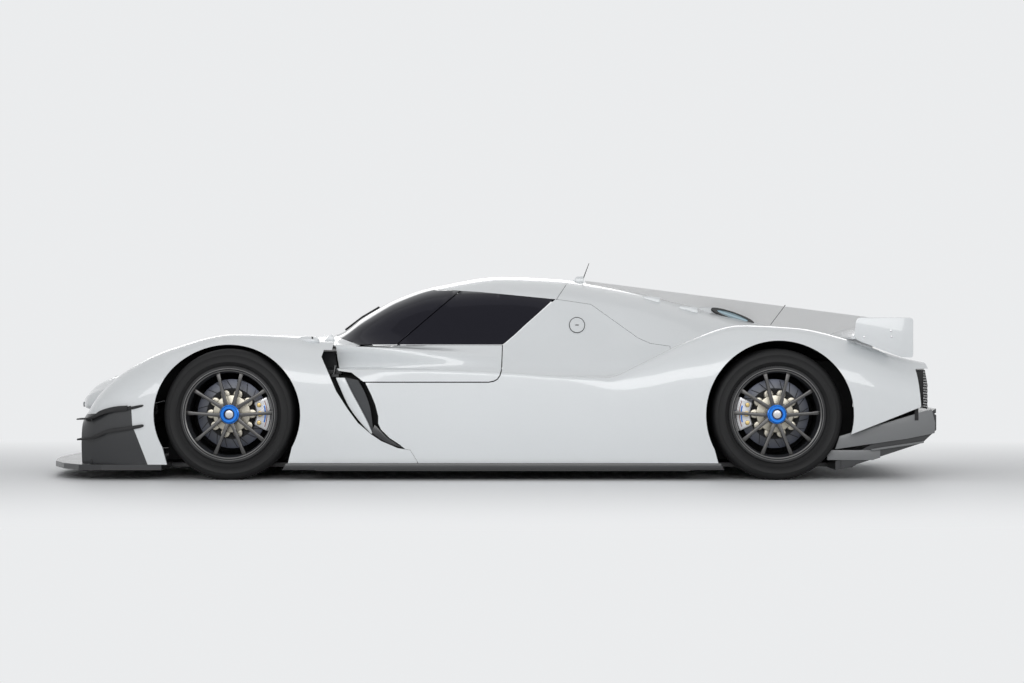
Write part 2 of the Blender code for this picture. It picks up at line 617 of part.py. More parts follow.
def side_body(side, suffix):
    """Side pod and rear fender in one piece, with the filler panel behind the door."""
    stations = spread(-0.72, 0.42, 0.19) + spread(0.58, DECK_END_X, 0.166)
    body = skin(f"side_body_{suffix}", REAR_SECTIONS, stations, PANEL)
    low, high = sorted((side * 0.02, side * 1.2))
    carve(body, box("half", (-3, low, -1), (3, high, 2)), "INTERSECT")
    low, high = sorted((side * 0.01, side * 1.3))
    mouth = [SEAM_FOOT, *FENDER_TAIL[::-1], (-1.2, 0.702), (-1.2, 0.0)]
    carve(body, prism("front", [*POD_FACE, (-0.70, 0.62), (-0.9, 0.62), (-0.9, 0.15), (-0.40, 0.15)], low, high))
    carve(body, prism("mouth", grown(mouth, SHUT_GAP), low, high))
    carve(body, prism("door_cut", grown(DOOR_EDGE, DOOR_GAP), low, high))
    window = grown(glass_outline(), DOOR_GAP)[: len(WINDOW_LINE)]
    corner_z = ROOF_SEAM[0][1] - SHUT_GAP
    open_top = [(-1.2, window[0][1]), *window[:-1], (window[-1][0], corner_z), (ROOF_SEAM[0][0] + SHUT_GAP, corner_z)]
    open_top += [(ROOF_SEAM[1][0] + SHUT_GAP, ROOF_SEAM[1][1]), (ROOF_SEAM[1][0] + SHUT_GAP, 1.5)]
    carve(body, prism("open_top", [*open_top, (-1.2, 1.5)], low, high))
    inside = sorted((side * 0.01, side * (COVER_Y + SHUT_GAP)))
    carve(body, prism("cover_cut", grown(cover_outline(), SHUT_GAP / 2), *inside))
    carve(body, prism("tail", TAIL_FLANK, low, high))
    cut_arches(body, REAR_AXLE_X)
    finish(body, "white_paint")


def engine_cover():
    """Centre body behind the roof, down to the tail deck between the rear fenders."""
    stations = spread(0.34, 0.64, 0.10) + spread(0.80, DECK_END_X, 0.20)
    body = skin("engine_cover", REAR_SECTIONS, stations, PANEL)
    carve(body, prism("cover", grown(cover_outline(), -SHUT_GAP / 2), -COVER_Y, COVER_Y), "INTERSECT")
    add_fin(body)
    finish(body, "white_paint")


def fin_outline():
    """Side view of the fin, notched from behind for the wing."""
    top, bottom = WING_Z + WING_THICKNESS + SEAT_GAP, WING_Z - SEAT_GAP
    notch = WING_FRONT_X - SEAT_GAP
    rear = [(FIN_END_X, 0.888), (FIN_END_X, top), (notch, top), (notch, bottom), (FIN_END_X, bottom)]
    return [(0.62, 1.094), *rear, (FIN_END_X + 0.02, 0.645), (1.70, 0.812), (1.10, 0.962), (0.66, 1.060)]


def add_fin(body):
    return join(body, prism("fin", fin_outline(), -FIN_THICKNESS / 2, FIN_THICKNESS / 2))


def inside(name, table, stations, inset, bottom):
    """What lies under a wall of the body: the space inset from its outer skin, down to the height given."""
    bm = bmesh.new()
    rows = []
    for x in stations:
        half = section(table, x)
        ring = [(x, -p.x, p.y) for p in half] + [(x, p.x, p.y) for p in reversed(half[:-1])]
        rows.append([bm.verts.new(p) for p in ring])
    for first, second in zip(rows, rows[1:]):
        for i in range(len(first) - 1):
            bm.faces.new((first[i], second[i], second[i + 1], first[i + 1]))
    bmesh.ops.recalc_face_normals(bm, faces=bm.faces)
    if sum(f.normal.z * f.calc_area() for f in bm.faces) < 0:
        bmesh.ops.reverse_faces(bm, faces=bm.faces)
    bm.normal_update()
    rings = []
    for i, row in enumerate(rows):
        points = [v.co - v.normal * inset for v in row]
        if i in (0, len(rows) - 1):
            points = [Vector((stations[i], p.y, p.z)) for p in points]
        foot = [Vector((p.x, p.y, bottom)) for p in (points[-1], points[0])]
        rings.append(points + foot)
    bm.free()
    return loft(name, rings)


def tub():
    """Flat floor with side skirts, the cabin cell, the footwell ahead of it and the bulkhead behind the seats."""
    half = FLOOR_HALF
    front_foot, rear_foot = FRONT_AXLE_X + ARCH_RADIUS + 0.02, REAR_AXLE_X - ARCH_RADIUS - 0.02
    corner_x = front_foot + FLOOR_SET_BACK
    rear_corner_x = rear_foot - FLOOR_SET_BACK
    outline = [(FLOOR_FRONT_X, -half), (front_foot, -half), (corner_x, -SKIRT_Y), (rear_corner_x, -SKIRT_Y)]
    outline += [(rear_foot, -half), (FLOOR_REAR_X, -half)]
    outline += [(x, -y) for x, y in reversed(outline)]
    body = plate("tub", outline, FLOOR_Z, FLOOR_TOP)
    for side in (-1, 1):
        low, high = sorted((side * (SKIRT_Y - SKIRT_THICKNESS), side * SKIRT_Y))
        skirt = box("skirt", (corner_x, low, FLOOR_Z), (rear_corner_x, high, SILL_Z - SEAT_GAP))
        join(body, skirt)
    cell = box("cell", (CELL_FRONT_X, -CELL_HALF, FLOOR_Z), (CELL_REAR_X, CELL_HALF, CELL_TOP))
    hollow = CELL_HALF - CELL_WALL
    footwell = box("footwell", (FOOTWELL_FRONT_X, -FOOTWELL_HALF, FLOOR_Z), (CELL_FRONT_X + 0.01, FOOTWELL_HALF, FOOTWELL_TOP))
    upper_half, step = CELL_HALF - CELL_WALL / 2, CELL_WALL / 8
    low, high = CELL_REAR_X - CELL_WALL, CELL_REAR_X - step
    bulkhead = box("bulkhead", (low, -upper_half, CELL_TOP / 2), (high, upper_half, 1.2))
    low, high = CELL_FRONT_X + step, CELL_FRONT_X + CELL_WALL
    cowl_wall = box("cowl_wall", (low, -upper_half, CELL_TOP / 2), (high, upper_half, 0.9))
    stations = [CELL_REAR_X - 0.11, CELL_REAR_X + 0.07]
    carve(bulkhead, inside("under_roof", REAR_SECTIONS, stations, 2 * PANEL, 0.0), "INTERSECT")
    carve(cowl_wall, inside("under_cowl", FRONT_SECTIONS, [-1.05, -0.96, -0.85], 2 * PANEL, 0.0), "INTERSECT")
    join(body, cell, footwell, bulkhead, cowl_wall)
    carve(body, box("cabin", (CELL_FRONT_X + CELL_WALL, -hollow, FLOOR_TOP), (CELL_REAR_X - CELL_WALL, hollow, 0.62)))
    leg = FOOTWELL_HALF - CELL_WALL
    carve(body, box("legroom", (FOOTWELL_FRONT_X + CELL_WALL, -leg, FLOOR_TOP), (CELL_FRONT_X + 0.1, leg, FOOTWELL_TOP - CELL_WALL)))
    for side in (-1, 1):
        low, high = sorted((side * (CELL_HALF - 0.01), side * (HINGE_Y + 0.012)))
        arm = box("hinge_arm", (HINGE_X - 0.013, low, HINGE_Z - 0.034), (HINGE_X + 0.025, high, HINGE_Z - 0.020))
        post = box("hinge_post", *block(HINGE_X - 0.010, HINGE_X + 0.022, side, CELL_HALF - 0.015, CELL_HALF + 0.02, 0.30, HINGE_Z - 0.025))
        join(body, post, arm, hinge_bar("hinge_pin", side, HINGE_RADIUS, -0.028, BOSS_LENGTH))
        stay = box("stay", *block(HINGE_X - 0.013, HINGE_X - 0.003, side, 0.73, 0.80, HINGE_Z - 0.028, HINGE_Z - 0.010))
        join(body, stay, pillar_panel(side))
    finish(mirror_left(body), "carbon")


def pillar_panel(side):
    """Hollowed panel between the fender's tail and the door, carried by the hinge arm."""
    body = skin("pillar_panel", REAR_SECTIONS, spread(-0.95, -0.78, 0.034), PANEL)
    span = sorted((side * 0.60, side * (HINGE_Y - 0.045)))
    carve(body, prism("panel_cut", [(-0.93, 0.50), (-0.78, 0.50), (-0.78, 0.69), (-0.93, 0.69)], *span), "INTERSECT")
    return carve(body, prism("door_clear", grown(DOOR_EDGE, DOOR_GAP), *sorted((side * 0.5, side * 1.2))))


def hinge_axis(side):
    """A point on one door's hinge axis, and the axis's direction upwards."""
    lean = Vector((HINGE_LEAN_X, -side * HINGE_LEAN_Y, 1.0)).normalized()
    return Vector((HINGE_X, side * HINGE_Y, HINGE_Z)), lean


def hinge_bar(name, side, radius, low, high):
    """A round bar on one door's hinge axis, from low to high measured along it."""
    point, lean = hinge_axis(side)
    return rod(name, point + lean * low, point + lean * high, radius, segments=PIN_TURNS)


def add_hinge_boss(body, side):
    """The boss on a door's lower front corner, bored for the pin on the tub."""
    foot = box("boss_foot", *block(HINGE_X, HINGE_X + 0.06, side, HINGE_Y - 0.030, HINGE_Y - 0.002, HINGE_Z + 0.003, HINGE_Z + 0.026))
    join(body, foot, hinge_bar("boss", side, BOSS_RADIUS, 0.0, BOSS_LENGTH))
    return carve(body, hinge_bar("boss_bore", side, bore_radius(HINGE_RADIUS, PIN_TURNS), -0.05, BOSS_LENGTH + 0.05))


def block(low_x, high_x, side, near_y, far_y, low_z, high_z):
    """Corners of a block on one side of the car, with its distances from the middle plane."""
    low_y, high_y = sorted((side * near_y, side * far_y))
    return (low_x, low_y, low_z), (high_x, high_y, high_z)


def splitter():
    """Flat blade under the nose."""
    half = FLOOR_HALF + SEAT_GAP
    edge = [(FLOOR_FRONT_X - SEAT_GAP, -half), (-1.74, -half), (-1.74, -0.955), (-2.06, -0.965), (-2.19, -0.93), (-2.30, -0.78)]
    edge += [(-2.39, -0.55), (-2.43, -0.30), (NOSE_X, -0.10)]
    outline = edge + [(x, -y) for x, y in reversed(edge)]
    body = plate("splitter", outline, SILL_Z - SEAT_GAP - SPLITTER_THICKNESS, SILL_Z - SEAT_GAP)
    finish(body, "carbon")


def add_blisters(body):
    """Low camera blister on each fender, behind the wheel."""
    for side in (-1, 1):
        bm = bmesh.new()
        bmesh.ops.create_uvsphere(bm, u_segments=8, v_segments=4, radius=1.0)
        size = Matrix.Diagonal((0.068, 0.045, 0.026, 1.0))
        bmesh.ops.transform(bm, matrix=Matrix.Translation((-0.985, side * 0.76, 0.752)) @ size, verts=bm.verts)
        join(body, from_bmesh("blister", bm))
    return body


def nose_grille():
    """Mesh across the mouth under the nose."""
    body = box("nose_grille", (MOUTH_X, -1.0, SILL_Z), (MOUTH_X + PANEL, 1.0, 0.60))
    carve(body, inside("mouth_space", FRONT_SECTIONS, CLAM_STATIONS[:3], 3.5 * PANEL, 0.0), "INTERSECT")
    finish(mirror_left(body), "trim")


def add_nose(body):
    """The rounded nose that stands ahead of the fenders, carried on from the deck's section."""
    rings = []
    for x, belt_y, belt_z, rail_y, rail_z, top_z, chin_z in NOSE_SECTIONS:
        half = [(belt_y - 0.02, chin_z + 0.012), (belt_y, (belt_z + chin_z) / 2), (belt_y - 0.01, belt_z)]
        half += [((belt_y + rail_y) / 2, (belt_z + rail_z) / 2 + 0.012), (rail_y, rail_z), (rail_y / 2, (rail_z + top_z * 2) / 3)]
        ring = [(x, -y, z) for y, z in [(0.5 * belt_y, chin_z), *half]] + [(x, 0.0, top_z)]
        ring += [(x, y, z) for y, z in reversed([(0.5 * belt_y, chin_z), *half])]
        rings.append(ring)
    return join(body, loft("nose", rings))


def headlamp(side, suffix):
    """Clear cover let into the fender's front slope."""
    body = skin(f"headlamp_{suffix}", FRONT_SECTIONS, CLAM_STATIONS[:5], PANEL)
    carve(body, box("lamp_cut", *lamp_block(side, 0.0)), "INTERSECT")
    finish(body, "lamp")


def lamp_block(side, gap):
    return block(-2.165 - gap, -2.02 + gap, side, 0.66 - gap, 0.90 + gap, 0.376 - gap, 0.60 + gap)


def vent_blade(side, suffix):
    """Upright blade in the vent behind one front wheel, with the deeper blade and the foot that carry it on."""
    body = prism(f"vent_blade_{suffix}", [*BLADE_FRONT, *BLADE_REAR[::-1]], *sorted((side * 0.86, side * 0.955)))
    deep = [*BLADE_REAR, (-0.602, 0.280), (-0.619, 0.397), (-0.650, 0.480), (-0.684, 0.540)]
    join(body, prism("deep_blade", deep, *sorted((side * 0.86, side * 0.915))))
    join(body, prism("blade_foot", BLADE_FOOT, *sorted((side * 0.90, side * 0.945))))
    strut = box("strut", *block(-0.72, -0.66, side, CELL_HALF + SEAT_GAP, 0.90, 0.40, 0.42))
    join(body, strut)
    finish(body, "white_paint")


def wiper():
    """Arm that lies along the middle of the screen."""
    radius = 0.006
    points = [Vector((x, 0, section(REAR_SECTIONS, x)[-1].y)) for x in WIPER_STATIONS]
    body = None
    for first, second in zip(points, points[1:]):
        along = (second - first).normalized()
        lift = Vector((-along.z, 0, along.x)) * (radius + SEAT_GAP)
        piece = rod("wiper", first + lift - along * 0.003, second + lift, radius)
        body = join(body, piece) if body else piece
    finish(body, "trim")


def door_parts(side, suffix):
    door(side, suffix)
    add_hinge_boss(bpy.data.objects[f"door_{suffix}"], side)
    door_glass(side, suffix)


def rear_wing():
    """Wing plane between two endplates, held in the notch of the fin."""
    body = box("rear_wing", (WING_FRONT_X, -ENDPLATE_Y - 0.002, WING_Z), (WING_REAR_X, ENDPLATE_Y + 0.002, WING_Z + WING_THICKNESS))
    outline = [(1.998, 0.775), (2.008, 0.866), (2.02, 0.877), (2.30, 0.877), (2.315, 0.862), (2.315, 0.675), (2.302, 0.662), (2.25, 0.664), (2.02, 0.752)]
    for side in (-1, 1):
        low, high = sorted((side * ENDPLATE_Y, side * (ENDPLATE_Y + ENDPLATE_THICKNESS)))
        join(body, prism("endplate", outline, low, high))
    finish(body, "white_paint")


def rear_grille():
    """Mesh that closes the tail between the flanks, standing on the diffuser."""
    (near_x, near_z), (far_x, far_z) = DIFFUSER_TOP
    seat = near_z + (far_z - near_z) * (GRILLE_X - near_x) / (far_x - near_x) + SEAT_GAP
    body = box("rear_grille", (GRILLE_X - PANEL, -1.0, seat), (GRILLE_X, 1.0, 0.70))
    carve(body, inside("tail_space", REAR_SECTIONS, [2.25, 2.33, 2.41], 2 * PANEL, 0.0), "INTERSECT")
    finish(body, "trim")


def tail_lamps():
    """Light bar across the tail, on the mesh."""
    body = box("tail_lamps", (GRILLE_X + SEAT_GAP, -0.90, 0.50), (GRILLE_X + 0.03, 0.90, 0.53))
    finish(body, "red_lens")


def diffuser():
    """Rising floor behind the rear wheels, with four fences."""
    front_x = FLOOR_REAR_X + SEAT_GAP
    top = [(front_x, 0.10), *DIFFUSER_TOP]
    under = [(DIFFUSER_TOP[1][0], DIFFUSER_TOP[1][1] - FLOOR_THICKNESS), (DIFFUSER_TOP[0][0] + 0.01, DIFFUSER_TOP[0][1] - FLOOR_THICKNESS)]
    body = prism("diffuser", [(front_x, FLOOR_Z), *top, *under, (1.99, FLOOR_Z + 0.015)], -0.90, 0.90)
    fence = [(1.93, FLOOR_Z + 0.004), (1.93, 0.105), (TAIL_X - 0.02, 0.362), (TAIL_X, 0.35), (TAIL_X, 0.27), (2.37, 0.20)]
    for y in (-0.90, -0.55, -0.20, 0.20, 0.55, 0.90):
        join(body, prism("fence", fence, y - 0.008, y + 0.008))
    finish(body, "carbon")


def engine():
    """Engine as one plain block at its real place."""
    front = CELL_REAR_X + SEAT_GAP
    body = box("engine", (front, -ENGINE_HALF, FLOOR_TOP + SEAT_GAP), (front + ENGINE_LENGTH, ENGINE_HALF, ENGINE_TOP))
    finish(body, "bare_metal")


def gearbox_front():
    return CELL_REAR_X + ENGINE_LENGTH + 2 * SEAT_GAP


def arm_set(body, axle_x, inner_y):
    """Upper and lower wishbones of both sides, joined to the body that carries them."""
    for side in (-1, 1):
        for drop in (-ARM_DROP, ARM_DROP):
            z = TYRE_RADIUS + drop
            ring = Vector((axle_x, side * KINGPIN_Y, z))
            for reach in (-0.13, 0.13):
                root = Vector((axle_x + reach, side * inner_y, z))
                tip = ring + (root - ring).normalized() * (PIN_RADIUS + 0.004)
                join(body, rod("arm", root, tip, ARM_RADIUS * 0.8))
            eye = rod("eye", ring - Vector((0, 0, 0.013)), ring + Vector((0, 0, 0.013)), PIN_RADIUS + 0.010, segments=PIN_TURNS)
            join(body, eye)
    for side in (-1, 1):
        pin = rod("pin", (axle_x, side * KINGPIN_Y, 0.0), (axle_x, side * KINGPIN_Y, 1.0), bore_radius(PIN_RADIUS, PIN_TURNS), segments=PIN_TURNS)
        carve(body, pin)
    return body


def front_suspension():
    """Saddle over the footwell, with the wishbones of both front wheels."""
    half, top = FOOTWELL_HALF + SEAT_GAP, FOOTWELL_TOP + SEAT_GAP
    low_x, high_x = FRONT_AXLE_X - 0.15, FRONT_AXLE_X + 0.15
    body = box("front_suspension", (low_x, -half - SUBFRAME_PLATE, 0.15), (high_x, half + SUBFRAME_PLATE, top + SUBFRAME_PLATE))
    carve(body, box("saddle", (low_x - 1, -half, -1), (high_x + 1, half, top)))
    arm_set(body, FRONT_AXLE_X, half + SUBFRAME_PLATE / 2)
    finish(body, "bare_metal")


def rear_suspension():
    """Gearbox casing with the wishbones of both rear wheels and the drive shafts' stubs."""
    body = box("rear_suspension", (gearbox_front(), -GEARBOX_HALF, 0.10), (FLOOR_REAR_X - 0.05, GEARBOX_HALF, GEARBOX_TOP))
    for side in (-1, 1):
        shaft = rod("shaft", (REAR_AXLE_X, side * 0.10, TYRE_RADIUS), (REAR_AXLE_X, side * (upright_inner() - SEAT_GAP), TYRE_RADIUS), 0.020, 12)
        join(body, shaft)
    arm_set(body, REAR_AXLE_X, GEARBOX_HALF - 0.01)
    finish(body, "bare_metal")


def upright_inner():
    return KINGPIN_Y - UPRIGHT_THICKNESS / 2


def disc_inner():
    return DISC_Y - DISC_THICKNESS / 2


def knuckle(name, axle_x, side, caliper_side):
    """Upright with its stub axle, its two kingpins and the brake caliper, which lies fore or aft of the hub."""
    outer = KINGPIN_Y + UPRIGHT_THICKNESS / 2
    reach = ARM_DROP - 0.013 - 0.0004
    body = box(name, *block(axle_x - UPRIGHT_WIDTH / 2, axle_x + UPRIGHT_WIDTH / 2, side, upright_inner(), outer, TYRE_RADIUS - reach, TYRE_RADIUS + reach))
    pin = rod("kingpin", (axle_x, side * KINGPIN_Y, TYRE_RADIUS - ARM_DROP - 0.014), (axle_x, side * KINGPIN_Y, TYRE_RADIUS + ARM_DROP + 0.014), PIN_RADIUS, PIN_TURNS)
    low, high = sorted((side * (outer - 0.01), side * (disc_inner() - RUNNING_GAP + 0.05)))
    join(body, pin, drum("stub", (axle_x, TYRE_RADIUS), STUB_RADIUS, low, high, HUB_TURNS))
    near, far = DISC_RADIUS - 0.055, rim_inner() - RUNNING_GAP
    back, front = outer - 0.03, DISC_Y + DISC_THICKNESS / 2 + 0.030
    shell = sector("caliper", axle_x, side, caliper_side, near, far, back, front)
    slot = sector("slot", axle_x, side, caliper_side, 0.0, DISC_RADIUS + RUNNING_GAP, disc_inner() - RUNNING_GAP, DISC_Y + DISC_THICKNESS / 2 + RUNNING_GAP, 14)
    carve(shell, slot)
    low_x, high_x = sorted((axle_x, axle_x + caliper_side * (near + 0.02)))
    bridge = box("bridge", *block(low_x, high_x, side, upright_inner(), outer, TYRE_RADIUS - 0.05, TYRE_RADIUS + 0.05))
    join(body, bridge, shell)
    finish(body, "bare_metal")


def sector(name, axle_x, side, caliper_side, near, far, back, front, steps=5):
    """Part of a ring round the axle, on one side of it fore and aft."""
    span = CALIPER_SPAN / far if near else math.pi * 0.9
    turns = [span * (i / steps - 0.5) for i in range(steps + 1)]
    outline = [(axle_x + caliper_side * far * math.cos(a), TYRE_RADIUS + far * math.sin(a)) for a in turns]
    if near:
        outline += [(axle_x + caliper_side * near * math.cos(a), TYRE_RADIUS + near * math.sin(a)) for a in reversed(turns)]
    low, high = sorted((side * back, side * front))
    return prism(name, outline, low, high)


def rim_inner():
    return RIM_RADIUS - LIP_HEIGHT - RIM_WALL


def tyre(name, axle_x, side):
    """Slick tyre, seated on the rim."""
    half = TYRE_WIDTH / 2
    seat = RIM_RADIUS - LIP_HEIGHT + SEAT_GAP
    side_seat = RIM_RADIUS + SEAT_GAP
    lip = half - 0.012 - SEAT_GAP
    profile = [(-lip, seat), (-lip, side_seat), (-half, TYRE_RADIUS - 0.050)]
    profile += [(-half + 0.014, TYRE_RADIUS - 0.010), (-half + 0.040, TYRE_RADIUS)]
    profile += [(-y, r) for y, r in reversed(profile)]
    body = turned(name, profile, WHEEL_TURNS)
    bmesh_move(body, (axle_x, side * TRACK_HALF, TYRE_RADIUS))
    finish(body, "rubber")


def bmesh_move(obj, shift):
    """Moves an object's mesh, with its origin left where it is."""
    obj.data.transform(Matrix.Translation(shift))
    return obj


def rim(name, axle_x, side):
    """Wheel with V spokes, centre nut and brake disc, all in one turning piece."""
    half = TYRE_WIDTH / 2
    well = RIM_RADIUS - LIP_HEIGHT
    inner = rim_inner()
    profile = [(-half, inner), (-half, RIM_RADIUS), (-half + 0.012, RIM_RADIUS), (-half + 0.012, well)]
    profile += [(-y, r) for y, r in reversed(profile)]
    body = turned(name, profile, WHEEL_TURNS)
    spoke_y = side * (SPOKE_Y - TRACK_HALF)
    low, high = spoke_y - SPOKE_DEPTH / 2, spoke_y + SPOKE_DEPTH / 2
    for pair in range(SPOKE_PAIRS):
        middle = math.pi / 2 + (pair + 0.5) * SPOKE_STEP
        for splay in (-1, 1):
            turn = middle + splay * math.radians(SPOKE_SPLAY)
            near = Vector((0.045 * math.cos(middle), 0.045 * math.sin(middle)))
            far = Vector((math.cos(turn), math.sin(turn))) * (inner + RIM_WALL / 2)
            across = (far - near).normalized().orthogonal() * SPOKE_WIDTH / 2
            outline = [tuple(p) for p in (near - across, far - across, far + across, near + across)]
            join(body, prism("spoke", outline, low, high))
    back = disc_inner() - TRACK_HALF
    front = SPOKE_Y + SPOKE_DEPTH / 2 - TRACK_HALF
    hub_low, hub_high = sorted((side * (back + DISC_THICKNESS / 2), side * (front + 0.004)))
    disc_low, disc_high = sorted((side * back, side * (back + DISC_THICKNESS)))
    nut_low, nut_high = sorted((side * front, side * (front + NUT_LENGTH)))
    join(body, drum("hub", (0, 0), HUB_RADIUS, hub_low, hub_high, HUB_TURNS), drum("disc", (0, 0), DISC_RADIUS, disc_low, disc_high, WHEEL_TURNS))
    join(body, drum("nut", (0, 0), NUT_RADIUS, nut_low, nut_high, HUB_TURNS))
    bore_low, bore_high = sorted((side * (back - 0.02), side * (back - RUNNING_GAP + 0.05 + 0.001)))
    carve(body, drum("bore", (0, 0), bore_radius(STUB_RADIUS, BORE_TURNS), bore_low, bore_high, BORE_TURNS))
    bmesh_move(body, (axle_x, side * TRACK_HALF, TYRE_RADIUS))
    finish(body, "rim_metal")


def wheel_corners(side, suffix):
    """Knuckle, rim and tyre at the front and rear of one side. Both ends have the same rims and tyres."""
    knuckle(f"knuckle_front_{suffix}", FRONT_AXLE_X, side, 1)
    knuckle(f"knuckle_rear_{suffix}", REAR_AXLE_X, side, -1)
    to_front = Matrix.Translation((FRONT_AXLE_X - REAR_AXLE_X, 0, 0))
    rim(f"rim_rear_{suffix}", REAR_AXLE_X, side)
    tyre(f"tyre_rear_{suffix}", REAR_AXLE_X, side)
    copied(bpy.data.objects[f"rim_rear_{suffix}"], f"rim_front_{suffix}", to_front)
    copied(bpy.data.objects[f"tyre_rear_{suffix}"], f"tyre_front_{suffix}", to_front)


def pivot_pieces():
    """Puts the origin of each piece that moves on its joint's axis, and hangs it from what carries it."""
    for side, suffix in ((-1, "left"), (1, "right")):
        hinge = hinge_axis(side)[0]
        for piece in (f"door_{suffix}", f"door_glass_{suffix}"):
            pivot(piece, hinge)
        bring(f"door_glass_{suffix}", f"door_{suffix}")
        for end, axle_x in (("front", FRONT_AXLE_X), ("rear", REAR_AXLE_X)):
            pivot(f"knuckle_{end}_{suffix}", (axle_x, side * KINGPIN_Y, TYRE_RADIUS))
            for piece in (f"rim_{end}_{suffix}", f"tyre_{end}_{suffix}"):
                pivot(piece, (axle_x, side * TRACK_HALF, TYRE_RADIUS))
                bring(piece, f"knuckle_{end}_{suffix}")


def pivot(name, point):
    """Moves an object's origin to a point, with its shape left where it is."""
    obj = bpy.data.objects[name]
    obj.data.transform(Matrix.Translation(-Vector(point)))
    obj.location = point


def bring(child_name, parent_name):
    """Parents one object to another, with its place kept."""
    child, parent = bpy.data.objects[child_name], bpy.data.objects[parent_name]
    child.parent = parent
    child.location = child.location - parent.location


def seat(side, suffix):
    """Bucket seat, reclined, with its bolsters."""
    low, high = side * SEAT_Y - SEAT_WIDTH / 2, side * SEAT_Y + SEAT_WIDTH / 2
    floor = FLOOR_TOP + SEAT_GAP
    outline = [(-0.42, floor), (-0.42, 0.27), (-0.36, 0.31), (0.0, 0.28), (0.12, 0.56), (0.25, 0.84), (0.31, 0.88)]
    outline += [(0.385, 0.86), (0.32, 0.62), (0.17, floor)]
    body = prism(f"seat_{suffix}", outline, low, high)
    hollow = [(-0.50, 0.33), (-0.36, 0.25), (0.03, 0.15), (0.25, 0.72), (0.27, 0.95), (-0.1, 0.95), (-0.3, 0.5)]
    carve(body, prism("lap", hollow, low + SEAT_BOLSTER, high - SEAT_BOLSTER))
    finish(body, "seat_fabric")


def dash():
    """Dash below the screen, with the steering column."""
    rear = CELL_FRONT_X + CELL_WALL + SEAT_GAP
    outline = [(rear, 0.50), (rear, 0.68), (-0.70, 0.68), (-0.66, 0.64), (-0.66, 0.56), (-0.74, 0.50)]
    body = prism("dash", outline, -CELL_HALF + CELL_WALL + 0.01, CELL_HALF - CELL_WALL - 0.01)
    join(body, rod("column", (-0.75, -SEAT_Y, 0.60), (-0.50, -SEAT_Y, 0.572), 0.018, 12))
    finish(body, "trim")


def steering_wheel():
    """Wheel on the column, ahead of the left seat."""
    end = Vector((-0.50, -SEAT_Y, 0.572))
    along = (end - Vector((-0.75, -SEAT_Y, 0.60))).normalized()
    body = rod("steering_wheel", end + along * SEAT_GAP, end + along * 0.03, 0.04, 16)
    ring = bmesh.new()
    verts = [ring.verts.new((STEERING_RADIUS + 0.013 * math.cos(a), 0, 0.013 * math.sin(a))) for a in [math.tau * i / 5 for i in range(5)]]
    edges = [ring.edges.new((a, b)) for a, b in zip(verts, verts[1:] + verts[:1])]
    bmesh.ops.spin(ring, geom=verts + edges, cent=(0, 0, 0), axis=(0, 0, 1), angle=math.tau, steps=14, use_merge=True)
    bmesh.ops.remove_doubles(ring, verts=ring.verts, dist=1e-5)
    place = Matrix.Translation(end + along * 0.02) @ along.to_track_quat("Z", "Y").to_matrix().to_4x4()
    bmesh.ops.transform(ring, matrix=place, verts=ring.verts)
    join(body, from_bmesh("ring", ring))
    for turn in (0.0, math.pi):
        away = place @ Vector((STEERING_RADIUS * math.cos(turn), STEERING_RADIUS * math.sin(turn), 0))
        join(body, rod("spoke", end + along * 0.02, away, 0.009))
    finish(body, "trim")


def antenna():
    """Small foot and whip on the roof."""
    low, high = (Vector((x, section(REAR_SECTIONS, x)[-1].y + SEAT_GAP)) for x in ANTENNA_FOOT)
    top = low.y + 0.022
    body = prism("antenna", [tuple(low), tuple(high), (high.x - 0.01, top), (low.x + 0.03, top)], -0.02, 0.02)
    join(body, rod("whip", (high.x - 0.025, 0, top - 0.008), (high.x + 0.030, 0, 1.204), ANTENNA_RADIUS))
    finish(body, "trim")


def clear_scene():
    for obj in list(bpy.data.objects):
        bpy.data.objects.remove(obj)


def main():
    clear_scene()
    front_clam()
    both_sides(corner_panel)
    both_sides(headlamp)
    both_sides(vent_blade)
    nose_grille()
    splitter()
    cowl()
    windscreen()
    wiper()
    roof()
    both_sides(door_parts)
    both_sides(side_body)
    engine_cover()
    rear_wing()
    rear_grille()
    tail_lamps()
    diffuser()
    tub()
    engine()
    front_suspension()
    rear_suspension()
    both_sides(wheel_corners)
    both_sides(seat)
    dash()
    steering_wheel()
    antenna()
    pivot_pieces()


main()
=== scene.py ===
"""Looks of a closed two-seat endurance concept car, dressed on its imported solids.

Metres, +Z up, nose towards -X, left side at -Y, ground at the origin.
"""

from __future__ import annotations

import json
import logging
import math
from collections.abc import Iterable, Sequence
from dataclasses import dataclass, field
from enum import Enum
from functools import cache

import bmesh
import bpy
import numpy as np
from mathutils import Matrix, Vector

